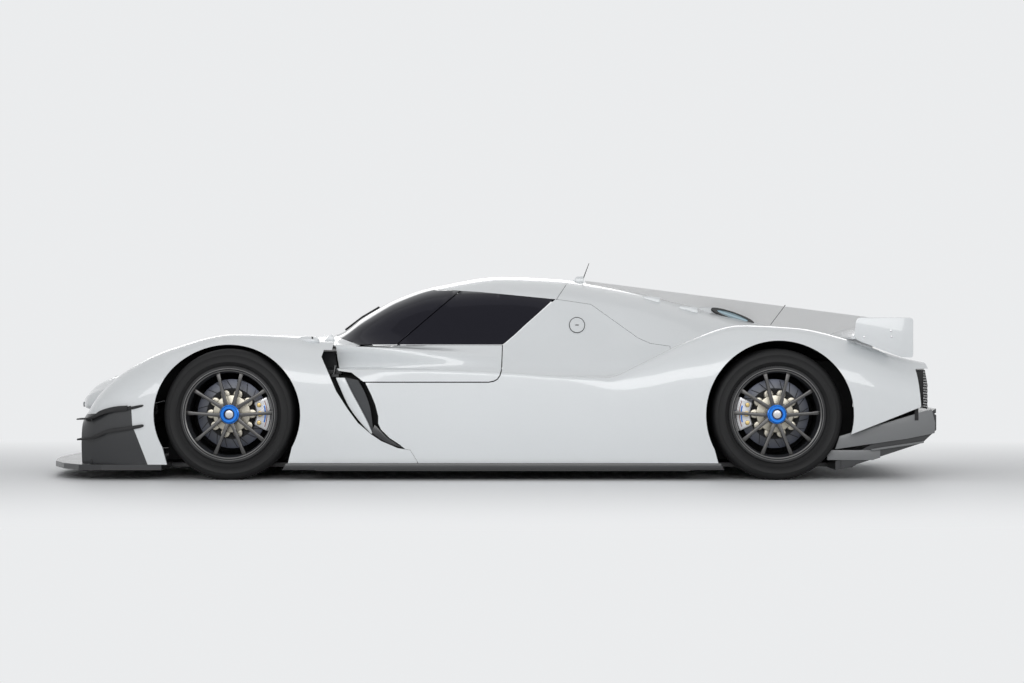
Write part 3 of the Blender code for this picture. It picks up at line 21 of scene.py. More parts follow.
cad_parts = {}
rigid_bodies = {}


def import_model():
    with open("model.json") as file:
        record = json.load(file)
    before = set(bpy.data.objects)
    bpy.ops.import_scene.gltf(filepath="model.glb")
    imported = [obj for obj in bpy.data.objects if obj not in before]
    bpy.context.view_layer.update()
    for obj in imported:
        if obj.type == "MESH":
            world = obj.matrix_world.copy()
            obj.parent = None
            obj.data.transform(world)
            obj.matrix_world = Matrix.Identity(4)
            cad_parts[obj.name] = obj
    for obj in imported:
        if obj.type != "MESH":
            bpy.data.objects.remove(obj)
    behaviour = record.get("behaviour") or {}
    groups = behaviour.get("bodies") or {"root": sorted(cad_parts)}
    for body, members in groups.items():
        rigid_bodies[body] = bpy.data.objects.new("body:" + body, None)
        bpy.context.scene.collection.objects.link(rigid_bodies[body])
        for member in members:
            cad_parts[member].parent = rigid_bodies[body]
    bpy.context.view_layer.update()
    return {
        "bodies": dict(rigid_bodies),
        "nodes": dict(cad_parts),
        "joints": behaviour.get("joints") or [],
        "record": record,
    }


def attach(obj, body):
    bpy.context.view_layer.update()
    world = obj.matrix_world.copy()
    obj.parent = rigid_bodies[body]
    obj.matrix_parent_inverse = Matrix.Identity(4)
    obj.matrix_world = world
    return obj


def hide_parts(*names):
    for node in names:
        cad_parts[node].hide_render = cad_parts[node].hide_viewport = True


LOG = logging.getLogger("concept_car")

Pair = tuple[float, float]
Outline = Sequence[Pair]
Rows = Sequence[Sequence[float]]
Triple = tuple[float, float, float]
Piece = bpy.types.Object
BMesh = bmesh.types.BMesh

TRACK_HALF = 0.81
TYRE_RADIUS = 0.355
TYRE_WIDTH = 0.31
SILL_Z = 0.085
SEAM = 0.0016
DOOR_GAP = 0.010
DOOR_LIP = DOOR_GAP - 0.004
BEYOND = 1.2


class Side(Enum):
    """The car's two sides, with the sign of their Y."""

    LEFT = -1
    RIGHT = 1

    def __str__(self) -> str:
        """The side's word in a node's name."""
        return self.name.lower()

    def span(self, near: float, far: float) -> Pair:
        """Distances from the middle plane as low and high Y on this side."""
        low, high = sorted((self.value * near, self.value * far))
        return low, high


class End(Enum):
    """The car's two ends, with the X of their axle."""

    FRONT = -1.375
    REAR = 1.58

    def __str__(self) -> str:
        """The end's word in a node's name."""
        return self.name.lower()


class Keep(Enum):
    """What a Boolean leaves of a piece: the rest, the shared part, or both solids as one."""

    REST = "DIFFERENCE"
    SHARED = "INTERSECT"
    BOTH = "UNION"


class Wire:
    """A shader value that takes part in arithmetic."""

    def __init__(self, tree: bpy.types.NodeTree, socket: bpy.types.NodeSocket) -> None:
        """Keeps the tree and the output socket."""
        self.tree = tree
        self.socket = socket

    def math(self, operation: str, *others: Wire | float) -> Wire:
        """One Math node.

        Args:
            operation: the node's operation.
            others: further values, wires or numbers.

        Returns:
            The result as a wire.
        """
        node = self.tree.nodes.new("ShaderNodeMath")
        node.operation = operation
        for slot, value in zip(node.inputs, (self, *others)):
            if isinstance(value, Wire):
                self.tree.links.new(value.socket, slot)
            else:
                slot.default_value = value
        return Wire(self.tree, node.outputs[0])

    def __add__(self, other: Wire | float) -> Wire:
        """Sum."""
        return self.math("ADD", other)

    def __radd__(self, other: float) -> Wire:
        """Sum with a number in front."""
        return self.math("ADD", other)

    def __sub__(self, other: Wire | float) -> Wire:
        """Difference."""
        return self.math("SUBTRACT", other)

    def __rsub__(self, other: float) -> Wire:
        """Number minus wire."""
        return self.math("MULTIPLY", -1.0).math("ADD", other)

    def __mul__(self, other: Wire | float) -> Wire:
        """Product."""
        return self.math("MULTIPLY", other)

    def __rmul__(self, other: float) -> Wire:
        """Product with a number in front."""
        return self.math("MULTIPLY", other)

    def __truediv__(self, other: Wire | float) -> Wire:
        """Quotient."""
        return self.math("DIVIDE", other)

    def __gt__(self, other: Wire | float) -> Wire:
        """1 where the wire is greater."""
        return self.math("GREATER_THAN", other)


class Recipe:
    """One material's node tree while it is being made."""

    def __init__(self, name: str) -> None:
        """Starts a material with an empty tree.

        Args:
            name: the material's name.
        """
        self.material = bpy.data.materials.new(name)
        self.material.use_nodes = True
        self.tree = self.material.node_tree
        self.tree.nodes.clear()
        self.output = self.tree.nodes.new("ShaderNodeOutputMaterial")
        self.surface = self.node("ShaderNodeBsdfPrincipled")
        self.tree.links.new(self.surface.outputs[0], self.output.inputs["Surface"])

    def node(self, kind: str, settings: dict[str, str] | None = None, **sockets: object) -> bpy.types.Node:
        """Any node, with its settings first and then its sockets.

        Args:
            kind: the node's type.
            settings: attributes, set before the sockets.
            sockets: values or wires by socket name, with underscores for spaces.

        Returns:
            The node.
        """
        made = self.tree.nodes.new(kind)
        for key, value in (settings or {}).items():
            setattr(made, key, value)
        for key, value in sockets.items():
            self.plug(made, key.replace("_", " "), value)
        return made

    def plug(self, made: bpy.types.Node, name: str, value: object) -> None:
        """Links or sets one input socket.

        Args:
            made: the node.
            name: the socket's name, or its number as text.
            value: a wire, or a plain value.
        """
        slot = made.inputs[int(name)] if name.isdigit() else made.inputs[name]
        if isinstance(value, Wire):
            self.tree.links.new(value.socket, slot)
        elif isinstance(value, tuple) and len(value) == 3 and slot.type == "RGBA":
            slot.default_value = (*value, 1.0)
        else:
            slot.default_value = value

    def wire(self, made: bpy.types.Node, output: str | int = 0) -> Wire:
        """An output of a node as a wire."""
        return Wire(self.tree, made.outputs[output])

    def place(self) -> Wire:
        """Object coordinates."""
        return self.wire(self.node("ShaderNodeTexCoord"), "Object")

    def axes(self, vector: Wire) -> tuple[Wire, Wire, Wire]:
        """The three parts of a vector."""
        split = self.node("ShaderNodeSeparateXYZ", Vector=vector)
        return self.wire(split, 0), self.wire(split, 1), self.wire(split, 2)

    def radius(self, hub: Triple) -> Wire:
        """Distance from an axle that lies along Y.

        Args:
            hub: a point of the axle.

        Returns:
            The distance as a wire.
        """
        shift = tuple(-c for c in hub)
        moved = self.node("ShaderNodeMapping", Vector=self.place(), Location=shift)
        across, _, up = self.axes(self.wire(moved))
        return (across * across + up * up).math("SQRT")

    def noise(self, vector: Wire, scale: float, detail: float = 2.0, roughness: float = 0.5) -> Wire:
        """Noise from 0 to 1."""
        made = self.node("ShaderNodeTexNoise", Vector=vector, Scale=scale, Detail=detail, Roughness=roughness)
        return self.wire(made, 0)

    def blend(self, mask: Wire | float, first: object, second: object) -> Wire:
        """A colour mixed from two, by a mask.

        Args:
            mask: share of the second colour.
            first: the colour where the mask is 0.
            second: the colour where the mask is 1.

        Returns:
            The colour as a wire.
        """
        made = self.node("ShaderNodeMix", {"data_type": "RGBA"})
        for name, value in (("0", mask), ("6", first), ("7", second)):
            self.plug(made, name, value)
        return self.wire(made, 2)

    def spread(
        self, value: Wire, low: float, high: float, new_low: float = 0.0, new_high: float = 1.0
    ) -> Wire:
        """A value carried from one range to another, clamped."""
        ends = {"From_Min": low, "From_Max": high, "To_Min": new_low, "To_Max": new_high}
        return self.wire(self.node("ShaderNodeMapRange", Value=value, **ends))

    def relief(self, height: Wire, distance: float, strength: float = 1.0) -> None:
        """Raised and sunk detail from a height."""
        made = self.node("ShaderNodeBump", Height=height, Distance=distance, Strength=strength)
        self.plug(self.surface, "Normal", self.wire(made))

    def set(self, **sockets: object) -> None:
        """Values or wires on the Principled shader, by socket name."""
        for key, value in sockets.items():
            self.plug(self.surface, key.replace("_", " "), value)

    def show(self, share: Wire | float, other: bpy.types.Node) -> None:
        """Mixes another shader into the surface.

        Args:
            share: how much of the other shader shows.
            other: the other shader's node.
        """
        mixed = self.node("ShaderNodeMixShader")
        self.plug(mixed, "0", share)
        for slot, shader in ((1, self.surface), (2, other)):
            self.tree.links.new(shader.outputs[0], mixed.inputs[slot])
        self.tree.links.new(mixed.outputs[0], self.output.inputs["Surface"])


@dataclass(frozen=True)
class PearlPaint:
    """Cool white paint under a clear coat, with very fine flakes."""

    colour: Triple = (0.80, 0.825, 0.84)
    roughness: float = 0.34
    name: str = "pearl_white"

    def build(self) -> bpy.types.Material:
        """The material.

        Returns:
            The material.
        """
        recipe = Recipe(self.name)
        place = recipe.place()
        broad = recipe.noise(place, 1.4, 1.0)
        flakes = recipe.noise(place, 900.0, 0.0)
        shade = recipe.blend(
            recipe.spread(broad, 0.35, 0.65), self.colour, tuple(c * 0.985 for c in self.colour)
        )
        pearl = recipe.blend(recipe.spread(flakes, 0.62, 0.72, 0.0, 0.35), shade, (0.90, 0.92, 0.94))
        recipe.set(
            Base_Color=pearl,
            Roughness=recipe.spread(flakes, 0.3, 0.7, self.roughness - 0.04, self.roughness + 0.04)
        )
        recipe.set(Coat_Weight=1.0, Coat_Roughness=0.035, Coat_IOR=1.5)
        return recipe.material


@dataclass(frozen=True)
class CarbonWeave:
    """Twill-woven dark composite under a satin lacquer."""

    colour: Triple = (0.014, 0.015, 0.017)
    light: Triple = (0.024, 0.025, 0.028)
    cell: float = 0.0022
    roughness: float = 0.36
    coat: float = 0.5
    name: str = "carbon_weave"

    def build(self) -> bpy.types.Material:
        """The material.

        Returns:
            The material.
        """
        recipe = Recipe(self.name)
        across, along, up = recipe.axes(recipe.place())
        warp = (across / self.cell).math("FLOOR")
        weft = ((up + along * 0.5) / self.cell).math("FLOOR")
        step = ((warp + weft) / 4.0).math("FRACT")
        over = step > 0.45
        fibre = ((across + up) * (6.0 / self.cell)).math("SINE") * 0.5 + 0.5
        wear = recipe.noise(recipe.place(), 9.0, 3.0)
        recipe.set(Base_Color=recipe.blend(over * 0.8 + fibre * 0.2, self.colour, self.light))
        recipe.set(
            Roughness=over * 0.10 + wear * 0.14 + (self.roughness - 0.10), Coat_Weight=self.coat,
            Coat_Roughness=0.16
        )
        recipe.relief(over * 0.7 + fibre * 0.3, 0.00005, 0.35)
        return recipe.material


@dataclass(frozen=True)
class SmokedGlass:
    """Near-black window glass with a faint violet cast, clear enough to show the cabin faintly."""

    tint: Triple = (0.010, 0.010, 0.014)
    seen: float = 0.07
    name: str = "smoked_glass"

    def build(self) -> bpy.types.Material:
        """The material.

        Returns:
            The material.
        """
        recipe = Recipe(self.name)
        dust = recipe.noise(recipe.place(), 3.0, 4.0)
        recipe.set(Base_Color=self.tint, Roughness=recipe.spread(dust, 0.3, 0.8, 0.02, 0.06), IOR=1.52)
        recipe.set(Specular_IOR_Level=0.20, Specular_Tint=(0.82, 0.80, 1.0))
        recipe.show(self.seen, recipe.node("ShaderNodeBsdfTransparent", Color=(0.55, 0.55, 0.62)))
        return recipe.material


@dataclass(frozen=True)
class ClearLens:
    """Clear lamp cover."""

    tint: Triple = (0.10, 0.11, 0.12)
    seen: float = 0.82
    name: str = "clear_lens"

    def build(self) -> bpy.types.Material:
        """The material.

        Returns:
            The material.
        """
        recipe = Recipe(self.name)
        dust = recipe.noise(recipe.place(), 12.0, 3.0)
        recipe.set(Base_Color=self.tint, Roughness=recipe.spread(dust, 0.3, 0.8, 0.01, 0.05), IOR=1.45)
        recipe.show(self.seen, recipe.node("ShaderNodeBsdfTransparent", Color=(0.93, 0.95, 0.97)))
        return recipe.material


@dataclass(frozen=True)
class TyreRubber:
    """Black rubber: matt, with mould lines round the sidewall and dusty scuffs on the tread."""

    name: str
    hub: Triple

    def build(self) -> bpy.types.Material:
        """The material.

        Returns:
            The material.
        """
        recipe = Recipe(self.name)
        radius = recipe.radius(self.hub)
        grain = recipe.noise(recipe.place(), 420.0, 3.0)
        scuff = recipe.noise(recipe.place(), 14.0, 4.0, 0.6)
        tread = recipe.spread(radius, TYRE_RADIUS - 0.022, TYRE_RADIUS - 0.006)
        wall = recipe.blend(recipe.spread(scuff, 0.35, 0.75), (0.009, 0.009, 0.0095), (0.015, 0.015, 0.0155))
        recipe.set(Base_Color=recipe.blend(tread, wall, (0.0035, 0.0035, 0.004)), Specular_IOR_Level=0.30)
        recipe.set(Roughness=recipe.spread(scuff, 0.3, 0.8, 0.52, 0.70) + tread * 0.12)
        rings = (radius * 900.0).math("SINE") * 0.15
        recipe.relief(grain * 0.5 + rings * (1.0 - tread), 0.00035, 0.6)
        return recipe.material


@dataclass(frozen=True)
class WornMetal:
    """Painted, cast or machined metal with fine grain and a broad, random shift in tone."""

    name: str
    colour: Triple
    roughness: float = 0.35
    metallic: float = 1.0
    grain: float = 260.0
    coat: float = 0.0

    def build(self) -> bpy.types.Material:
        """The material.

        Returns:
            The material.
        """
        recipe = Recipe(self.name)
        place = recipe.place()
        fine = recipe.noise(place, self.grain, 3.0)
        broad = recipe.noise(place, 7.0, 3.0)
        lighter = tuple(min(1.0, c * 1.18 + 0.004) for c in self.colour)
        recipe.set(Base_Color=recipe.blend(recipe.spread(broad, 0.35, 0.7), self.colour, lighter))
        recipe.set(
            Roughness=recipe.spread(
                fine * 0.5 + broad * 0.5, 0.3, 0.7, self.roughness - 0.06, self.roughness + 0.07
            )
        )
        recipe.set(Metallic=self.metallic, Coat_Weight=self.coat, Coat_Roughness=0.08)
        recipe.relief(fine, 0.00012, 0.35)
        return recipe.material


@dataclass(frozen=True)
class TurnedDisc:
    """Brake disc: fine circles of wear round its own axle, with a heat-tinted outer band."""

    name: str
    hub: Triple
    colour: Triple = (0.115, 0.120, 0.135)

    def build(self) -> bpy.types.Material:
        """The material.

        Returns:
            The material.
        """
        recipe = Recipe(self.name)
        radius = recipe.radius(self.hub)
        rings = recipe.noise(recipe.wire(recipe.node("ShaderNodeCombineXYZ", X=radius * 260.0)), 2.0, 3.0)
        blue = recipe.spread(radius, 0.15, 0.19)
        recipe.set(Base_Color=recipe.blend(blue * 0.6, self.colour, (0.085, 0.095, 0.135)))
        recipe.set(Metallic=0.7, Roughness=recipe.spread(rings, 0.3, 0.7, 0.28, 0.45))
        recipe.relief(rings, 0.0002, 0.5)
        return recipe.material


@dataclass(frozen=True)
class GlowingLens:
    """Moulded lamp lens with ribs inside."""

    name: str
    colour: Triple
    pitch: float = 0.012

    def build(self) -> bpy.types.Material:
        """The material.

        Returns:
            The material.
        """
        recipe = Recipe(self.name)
        _, along, _ = recipe.axes(recipe.place())
        ribs = (along * (math.tau / self.pitch)).math("SINE") * 0.5 + 0.5
        dark = tuple(c * 0.45 for c in self.colour)
        recipe.set(Base_Color=recipe.blend(ribs, dark, self.colour), Roughness=0.10 + ribs * 0.05)
        recipe.set(Coat_Weight=0.8, Coat_Roughness=0.03)
        return recipe.material


@dataclass(frozen=True)
class SeatCloth:
    """Dark woven upholstery with a fine over-and-under weave."""

    name: str = "seat_cloth"
    colour: Triple = (0.028, 0.028, 0.031)
    light: Triple = (0.060, 0.060, 0.064)
    thread: float = 0.0022

    def build(self) -> bpy.types.Material:
        """The material.

        Returns:
            The material.
        """
        recipe = Recipe(self.name)
        across, along, up = recipe.axes(recipe.place())
        warp = (across * (math.tau / self.thread)).math("SINE")
        weft = ((along + up) * (math.tau / self.thread)).math("SINE")
        weave = warp * weft * 0.5 + 0.5
        fuzz = recipe.noise(recipe.place(), 60.0, 4.0)
        recipe.set(Base_Color=recipe.blend(weave * 0.6 + fuzz * 0.4, self.colour, self.light))
        recipe.set(Roughness=0.80 + fuzz * 0.12, Sheen_Weight=0.25, Sheen_Roughness=0.5)
        recipe.relief(weave * 0.8 + fuzz * 0.2, 0.0003, 0.6)
        return recipe.material


@dataclass(frozen=True)
class MouldedTrim:
    """Black moulded plastic with a fine leathery grain."""

    name: str = "moulded_trim"
    colour: Triple = (0.020, 0.020, 0.022)
    roughness: float = 0.46

    def build(self) -> bpy.types.Material:
        """The material.

        Returns:
            The material.
        """
        recipe = Recipe(self.name)
        grain = recipe.noise(recipe.place(), 520.0, 2.0)
        wear = recipe.noise(recipe.place(), 11.0, 3.0)
        lighter = tuple(c * 1.5 for c in self.colour)
        recipe.set(Base_Color=recipe.blend(recipe.spread(wear, 0.4, 0.8), self.colour, lighter))
        recipe.set(Roughness=recipe.spread(wear, 0.3, 0.8, self.roughness - 0.06, self.roughness + 0.08))
        recipe.relief(grain, 0.00018, 0.45)
        return recipe.material


class Finish(Enum):
    """The finishes that pieces of the car wear."""

    PAINT = PearlPaint()
    CARBON = CarbonWeave()
    GREY_CARBON = CarbonWeave((0.19, 0.195, 0.20), (0.215, 0.22, 0.225), 0.0022, 0.40, 0.3, "grey_composite")
    SLATE = WornMetal("slate_grey", (0.026, 0.029, 0.033), 0.34, 0.2, 300.0, 0.5)
    # Near-black composite: the real black of the dive planes, the meshes and the tail housing, and painted
    # shade on the walls in the wheel housings and the vent, on the panels' inner sides, and on the disc's
    # slots and inner ring.
    LINING = CarbonWeave((0.006, 0.006, 0.007), (0.009, 0.009, 0.010), 0.0022, 0.62, 0.0, "dark_lining")
    GLASS = SmokedGlass()
    LENS = ClearLens()
    GUNMETAL = WornMetal("gunmetal_spokes", (0.085, 0.083, 0.082), 0.33, 0.85, 380.0, 0.15)
    LIP = WornMetal("rim_lip", (0.15, 0.148, 0.146), 0.30, 1.0, 500.0)
    DARK_RIM = WornMetal("dark_barrel", (0.030, 0.030, 0.031), 0.36, 0.7, 380.0)
    GOLD = WornMetal("gold_anodised", (0.60, 0.45, 0.20), 0.28, 1.0, 400.0)
    RED_PIPE = WornMetal("red_pipe", (0.35, 0.03, 0.025), 0.35, 0.2, 300.0)
    SILVER = WornMetal("machined_silver", (0.52, 0.52, 0.53), 0.28, 1.0, 420.0)
    BELL = WornMetal("disc_bell", (0.48, 0.45, 0.38), 0.32, 1.0, 420.0)
    CAST = WornMetal("cast_alloy", (0.30, 0.30, 0.30), 0.45, 0.9, 180.0)
    BLUE = WornMetal("blue_anodised", (0.010, 0.19, 0.72), 0.25, 0.8, 400.0, 0.4)
    TRIM = MouldedTrim()
    GLOSS_BLACK = MouldedTrim("gloss_black", (0.012, 0.012, 0.013), 0.16)
    RED_LENS = GlowingLens("red_lens_ribs", (0.42, 0.012, 0.010))
    LAMP_CORE = GlowingLens("lamp_core", (0.75, 0.78, 0.82), 0.010)
    PALE_BLUE = GlowingLens("outlet_pane", (0.42, 0.62, 0.72), 0.020)
    CLOTH = SeatCloth()
    STRAP = SeatCloth("strap_webbing", (0.010, 0.010, 0.011), (0.022, 0.022, 0.024), 0.0016)


@cache
def material(finish: Finish | TyreRubber | TurnedDisc) -> bpy.types.Material:
    """The finish's material, made on its first use only."""
    return (finish.value if isinstance(finish, Finish) else finish).build()


def held(name: str, bm: BMesh) -> Piece:
    """A bmesh as a new object in the scene.

    Args:
        name: the object's name.
        bm: the bmesh, which is freed.

    Returns:
        The object, at the origin.
    """
    mesh = bpy.data.meshes.new(name)
    bm.to_mesh(mesh)
    bm.free()
    obj = bpy.data.objects.new(name, mesh)
    bpy.context.scene.collection.objects.link(obj)
    return obj


def settled(obj: Piece) -> Piece:
    """The object with its modifiers applied to its mesh.

    Args:
        obj: the object.

    Returns:
        The object.
    """
    graph = bpy.context.evaluated_depsgraph_get()
    mesh = bpy.data.meshes.new_from_object(obj.evaluated_get(graph))
    old = obj.data
    obj.modifiers.clear()
    obj.data = mesh
    bpy.data.meshes.remove(old)
    return obj


def cut(target: Piece, tool: Piece, keep: Keep = Keep.REST) -> Piece:
    """A Boolean, after which the tool is gone.

    Args:
        target: the object that changes.
        tool: the other solid.
        keep: what is left of the two.

    Returns:
        The target.
    """
    step = target.modifiers.new("cut", "BOOLEAN")
    step.operation = keep.value
    step.solver = "MANIFOLD"
    step.object = tool
    settled(target)
    mesh = tool.data
    bpy.data.objects.remove(tool)
    bpy.data.meshes.remove(mesh)
    return target


def prism(name: str, outline: Outline, low_y: float, high_y: float) -> Piece:
    """A side-view outline extruded across the car.

    Args:
        name: the object's name.
        outline: (x, z) points.
        low_y: lower Y.
        high_y: higher Y.

    Returns:
        A closed solid.
    """
    bm = bmesh.new()
    base = bm.faces.new([bm.verts.new((x, low_y, z)) for x, z in outline])
    grown = bmesh.ops.extrude_face_region(bm, geom=[base])
    moved = [g for g in grown["geom"] if isinstance(g, bmesh.types.BMVert)]
    bmesh.ops.translate(bm, vec=(0, high_y - low_y, 0), verts=moved)
    bmesh.ops.recalc_face_normals(bm, faces=bm.faces)
    return held(name, bm)


def bevelled(bm: BMesh, edges: Sequence[bmesh.types.BMEdge], width: float) -> None:
    """Edges of a bmesh rounded in three steps."""
    bmesh.ops.bevel(
        bm, geom=edges, offset=width, offset_type="OFFSET", segments=3, profile=0.5, affect="EDGES",
        material=-1
    )


def brick(name: str, low: Sequence[float], high: Sequence[float], edge: float = 0.0) -> Piece:
    """A block between two corners, with its edges rounded.

    Args:
        name: the object's name.
        low: lowest corner.
        high: highest corner.
        edge: width of the rounding.

    Returns:
        A closed solid.
    """
    bm = bmesh.new()
    middle = [(a + b) / 2 for a, b in zip(low, high)]
    size = [b - a for a, b in zip(low, high)]
    bmesh.ops.create_cube(bm, size=1.0, matrix=Matrix.Translation(middle) @ Matrix.Diagonal((*size, 1.0)))
    if edge:
        bevelled(bm, bm.edges[:], edge)
    return held(name, bm)


def spun(points: Rows, axis: tuple[int, int, int], steps: int) -> BMesh:
    """A ring of points turned fully round an axis through the origin.

    Args:
        points: the ring's corners.
        axis: the axis that it turns about.
        steps: faces round the turn.

    Returns:
        The closed shape.
    """
    bm = bmesh.new()
    verts = [bm.verts.new(point) for point in points]
    edges = [bm.edges.new(pair) for pair in zip(verts, verts[1:] + verts[:1])]
    bmesh.ops.spin(
        bm, geom=verts + edges, cent=(0, 0, 0), axis=axis, angle=math.tau, steps=steps, use_merge=True
    )
    bmesh.ops.remove_doubles(bm, verts=bm.verts, dist=1e-6)
    bmesh.ops.recalc_face_normals(bm, faces=bm.faces)
    return bm


def turned(name: str, profile: Outline, hub: Vector, steps: int = 96) -> Piece:
    """A closed profile spun round an axle that lies along Y.

    Args:
        name: the object's name.
        profile: (y, radius) points of a closed outline, y from the hub.
        hub: the axle's point at y 0.
        steps: faces round the turn.

    Returns:
        A closed solid.
    """
    bm = spun([(0.0, y, r) for y, r in profile], (0, 1, 0), steps)
    bmesh.ops.translate(bm, vec=hub, verts=bm.verts)
    return held(name, bm)


def disc(
    name: str, hub: Vector, radius: float, low_y: float, high_y: float, edge: float = 0.0, turns: int = 48
) -> Piece:
    """A round block on an axle along Y, with its rims rounded.

    Args:
        name: the object's name.
        hub: the axle's point at y 0.
        radius: outer radius.
        low_y: lower Y from the hub.
        high_y: higher Y from the hub.
        edge: width of the rounding.
        turns: faces round it.

    Returns:
        A closed solid.
    """
    bm = bmesh.new()
    middle = Matrix.Translation(hub + Vector((0, (low_y + high_y) / 2, 0)))
    bmesh.ops.create_cone(
        bm, cap_ends=True, segments=turns, radius1=radius, radius2=radius, depth=high_y - low_y,
        matrix=middle @ Matrix.Rotation(math.pi / 2, 4, "X"),
    )
    if edge:
        bevelled(bm, [e for e in bm.edges if any(len(f.verts) > 4 for f in e.link_faces)], edge)
    return held(name, bm)


def softened(obj: Piece, width: float, segments: int = 2, angle: float = 40.0) -> Piece:
    """The object with a live Bevel on its sharper edges.

    Args:
        obj: the object.
        width: the bevel's width.
        segments: its steps.
        angle: edges sharper than this are bevelled, in degrees.

    Returns:
        The object.
    """
    step = obj.modifiers.new("edges", "BEVEL")
    step.width = width
    step.segments = segments
    step.limit_method = "ANGLE"
    step.angle_limit = math.radians(angle)
    step.harden_normals = False
    return obj


def eased(obj: Piece, width: float, segments: int = 2, angle: float = 40.0) -> Piece:
    """The object with its sharper edges bevelled in its mesh."""
    return settled(softened(obj, width, segments, angle))


def dressed(
    obj: Piece, finish: Finish | TyreRubber | TurnedDisc, *nodes: str, body: str = "chassis", slot: str = "",
    smooth: float = 32.0
) -> Piece:
    """Gives a piece its shading, its finish, its body, and the nodes that it stands for.

    Args:
        obj: the piece.
        finish: its finish.
        nodes: CAD nodes that it replaces.
        body: the CAD body that it rides on.
        slot: the record's material slot; not used.
        smooth: angle between faces up to which it is shaded smooth, in degrees.

    Returns:
        The piece.
    """
    obj.data.shade_smooth()
    obj.data.set_sharp_from_angle(angle=math.radians(smooth))
    if len(obj.data.materials) < 2:
        obj.data.materials.clear()
        obj.data.materials.append(material(finish))
    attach(obj, body)
    if nodes:
        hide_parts(*nodes)
    LOG.info("%s rides on %s", obj.name, body)
    return obj


def merged(first: Piece, *others: Piece) -> Piece:
    """Several objects' meshes in one object, side by side.

    Args:
        first: the object that takes them all.
        others: the rest, which go.

    Returns:
        The first object.
    """
    bm = bmesh.new()
    bm.from_mesh(first.data)
    for other in others:
        bm.from_mesh(other.data)
        mesh = other.data
        bpy.data.objects.remove(other)
        bpy.data.meshes.remove(mesh)
    bm.to_mesh(first.data)
    bm.free()
    return first


def polar(turn: float, radius: float) -> Vector:
    """A side-view point at an angle round the hub and a distance from it."""
    return Vector((math.cos(turn), math.sin(turn))) * radius


def monotone(xs: Sequence[float], ys: Sequence[float], x: float) -> float:
    """A monotone cubic through points, which never overshoots them.

    Args:
        xs: rising stations.
        ys: values there.
        x: where to read it.

    Returns:
        The value.
    """
    steps = np.diff(xs)
    slopes = np.diff(ys) / steps
    tangents = [slopes[0]]
    for before, after in zip(slopes, slopes[1:]):
        tangents.append(0.0 if before * after <= 0 else 2 * before * after / (before + after))
    tangents.append(slopes[-1])
    i = int(np.clip(np.searchsorted(xs, x) - 1, 0, len(steps) - 1))
    t = (x - xs[i]) / steps[i]
    rise = ys[i + 1] - ys[i]
    low, high = tangents[i] * steps[i], tangents[i + 1] * steps[i]
    return float(ys[i] + t * (low + t * ((3 * rise - 2 * low - high) + t * (low + high - 2 * rise))))


def curve_through(knots: Sequence[Vector], pieces: int) -> list[Vector]:
    """A smooth curve through knots.

    Args:
        knots: the points, with one more before the first and after the last.
        pieces: steps between two knots.

    Returns:
        Points from the second knot to the last but one.
    """
    points = []
    for k in range(1, len(knots) - 2):
        a, b, c, d = knots[k - 1 : k + 3]
        span = (c - b).length
        start = (c - a) * span / max((c - b).length + (b - a).length, 1e-6)
        end = (d - b) * span / max((d - c).length + (c - b).length, 1e-6)
        for n in range(pieces):
            t = n / pieces
            first = b * (2 * t**3 - 3 * t**2 + 1) + start * (t**3 - 2 * t**2 + t)
            points.append(first + c * (3 * t**2 - 2 * t**3) + end * (t**3 - t**2))
    points.append(knots[-2])
    return points


def widened(outline: Outline, gap: float) -> list[Pair]:
    """An outline moved outwards by a gap on every side.

    Args:
        outline: (x, z) points of a closed outline.
        gap: how far it moves, inwards below 0.

    Returns:
        The moved points.
    """
    points = [Vector(p) for p in outline]
    area = sum(a.x * b.y - b.x * a.y for a, b in zip(points, points[1:] + points[:1]))
    turn = 1.0 if area > 0 else -1.0
    moved = []
    for i, point in enumerate(points):
        before = (point - points[i - 1]).normalized()
        after = (points[(i + 1) % len(points)] - point).normalized()
        first = Vector((before.y, -before.x)) * turn
        second = Vector((after.y, -after.x)) * turn
        middle = (first + second).normalized()
        moved.append(tuple(point + middle * gap / max(0.5, middle.dot(second))))
    return moved


def smoothed(points: Outline, pieces: int = 4) -> list[Pair]:
    """An open side-view line rounded through its points.

    Args:
        points: (x, z) points.
        pieces: steps between two points.

    Returns:
        More points along the same line.
    """
    knots = [Vector(p) for p in points]
    knots = [knots[0] * 2 - knots[1], *knots, knots[-1] * 2 - knots[-2]]
    return [tuple(p) for p in curve_through(knots, pieces)]


def pad(
    name: str, centre: Sequence[float], half: Sequence[float], wall: float, hole: float = 0.0, turns: int = 40
) -> Piece:
    """A flat oval with rings of faces inside it, to be laid on a surface.

    Args:
        name: the object's name.
        centre: its middle, as (x, y).
        half: its half lengths along x and y.
        wall: its thickness, upwards.
        hole: share of the half lengths that is open in the middle.
        turns: faces round it.

    Returns:
        A closed solid that stands on Z 0.
    """
    bm = bmesh.new()
    bmesh.ops.create_circle(bm, cap_ends=True, segments=turns, radius=1.0)
    bm.faces.ensure_lookup_table()
    face = bm.faces[0]
    for depth in ((1.0 - hole,) if hole else (0.04, 0.30, 0.30)):
        bmesh.ops.inset_region(
            bm, faces=[face], thickness=depth * math.cos(math.pi / turns), use_boundary=True,
            use_even_offset=True
        )
    if hole:
        bmesh.ops.delete(bm, geom=[face], context="FACES")
    grown = bmesh.ops.extrude_face_region(bm, geom=bm.faces[:])
    bmesh.ops.translate(
        bm, vec=(0, 0, wall), verts=[g for g in grown["geom"] if isinstance(g, bmesh.types.BMVert)]
    )
    bmesh.ops.recalc_face_normals(bm, faces=bm.faces)
    place = Matrix.Translation((centre[0], centre[1], 0.0)) @ Matrix.Diagonal((half[0], half[1], 1.0, 1.0))
    bmesh.ops.transform(bm, matrix=place, verts=bm.verts)
    return held(name, bm)


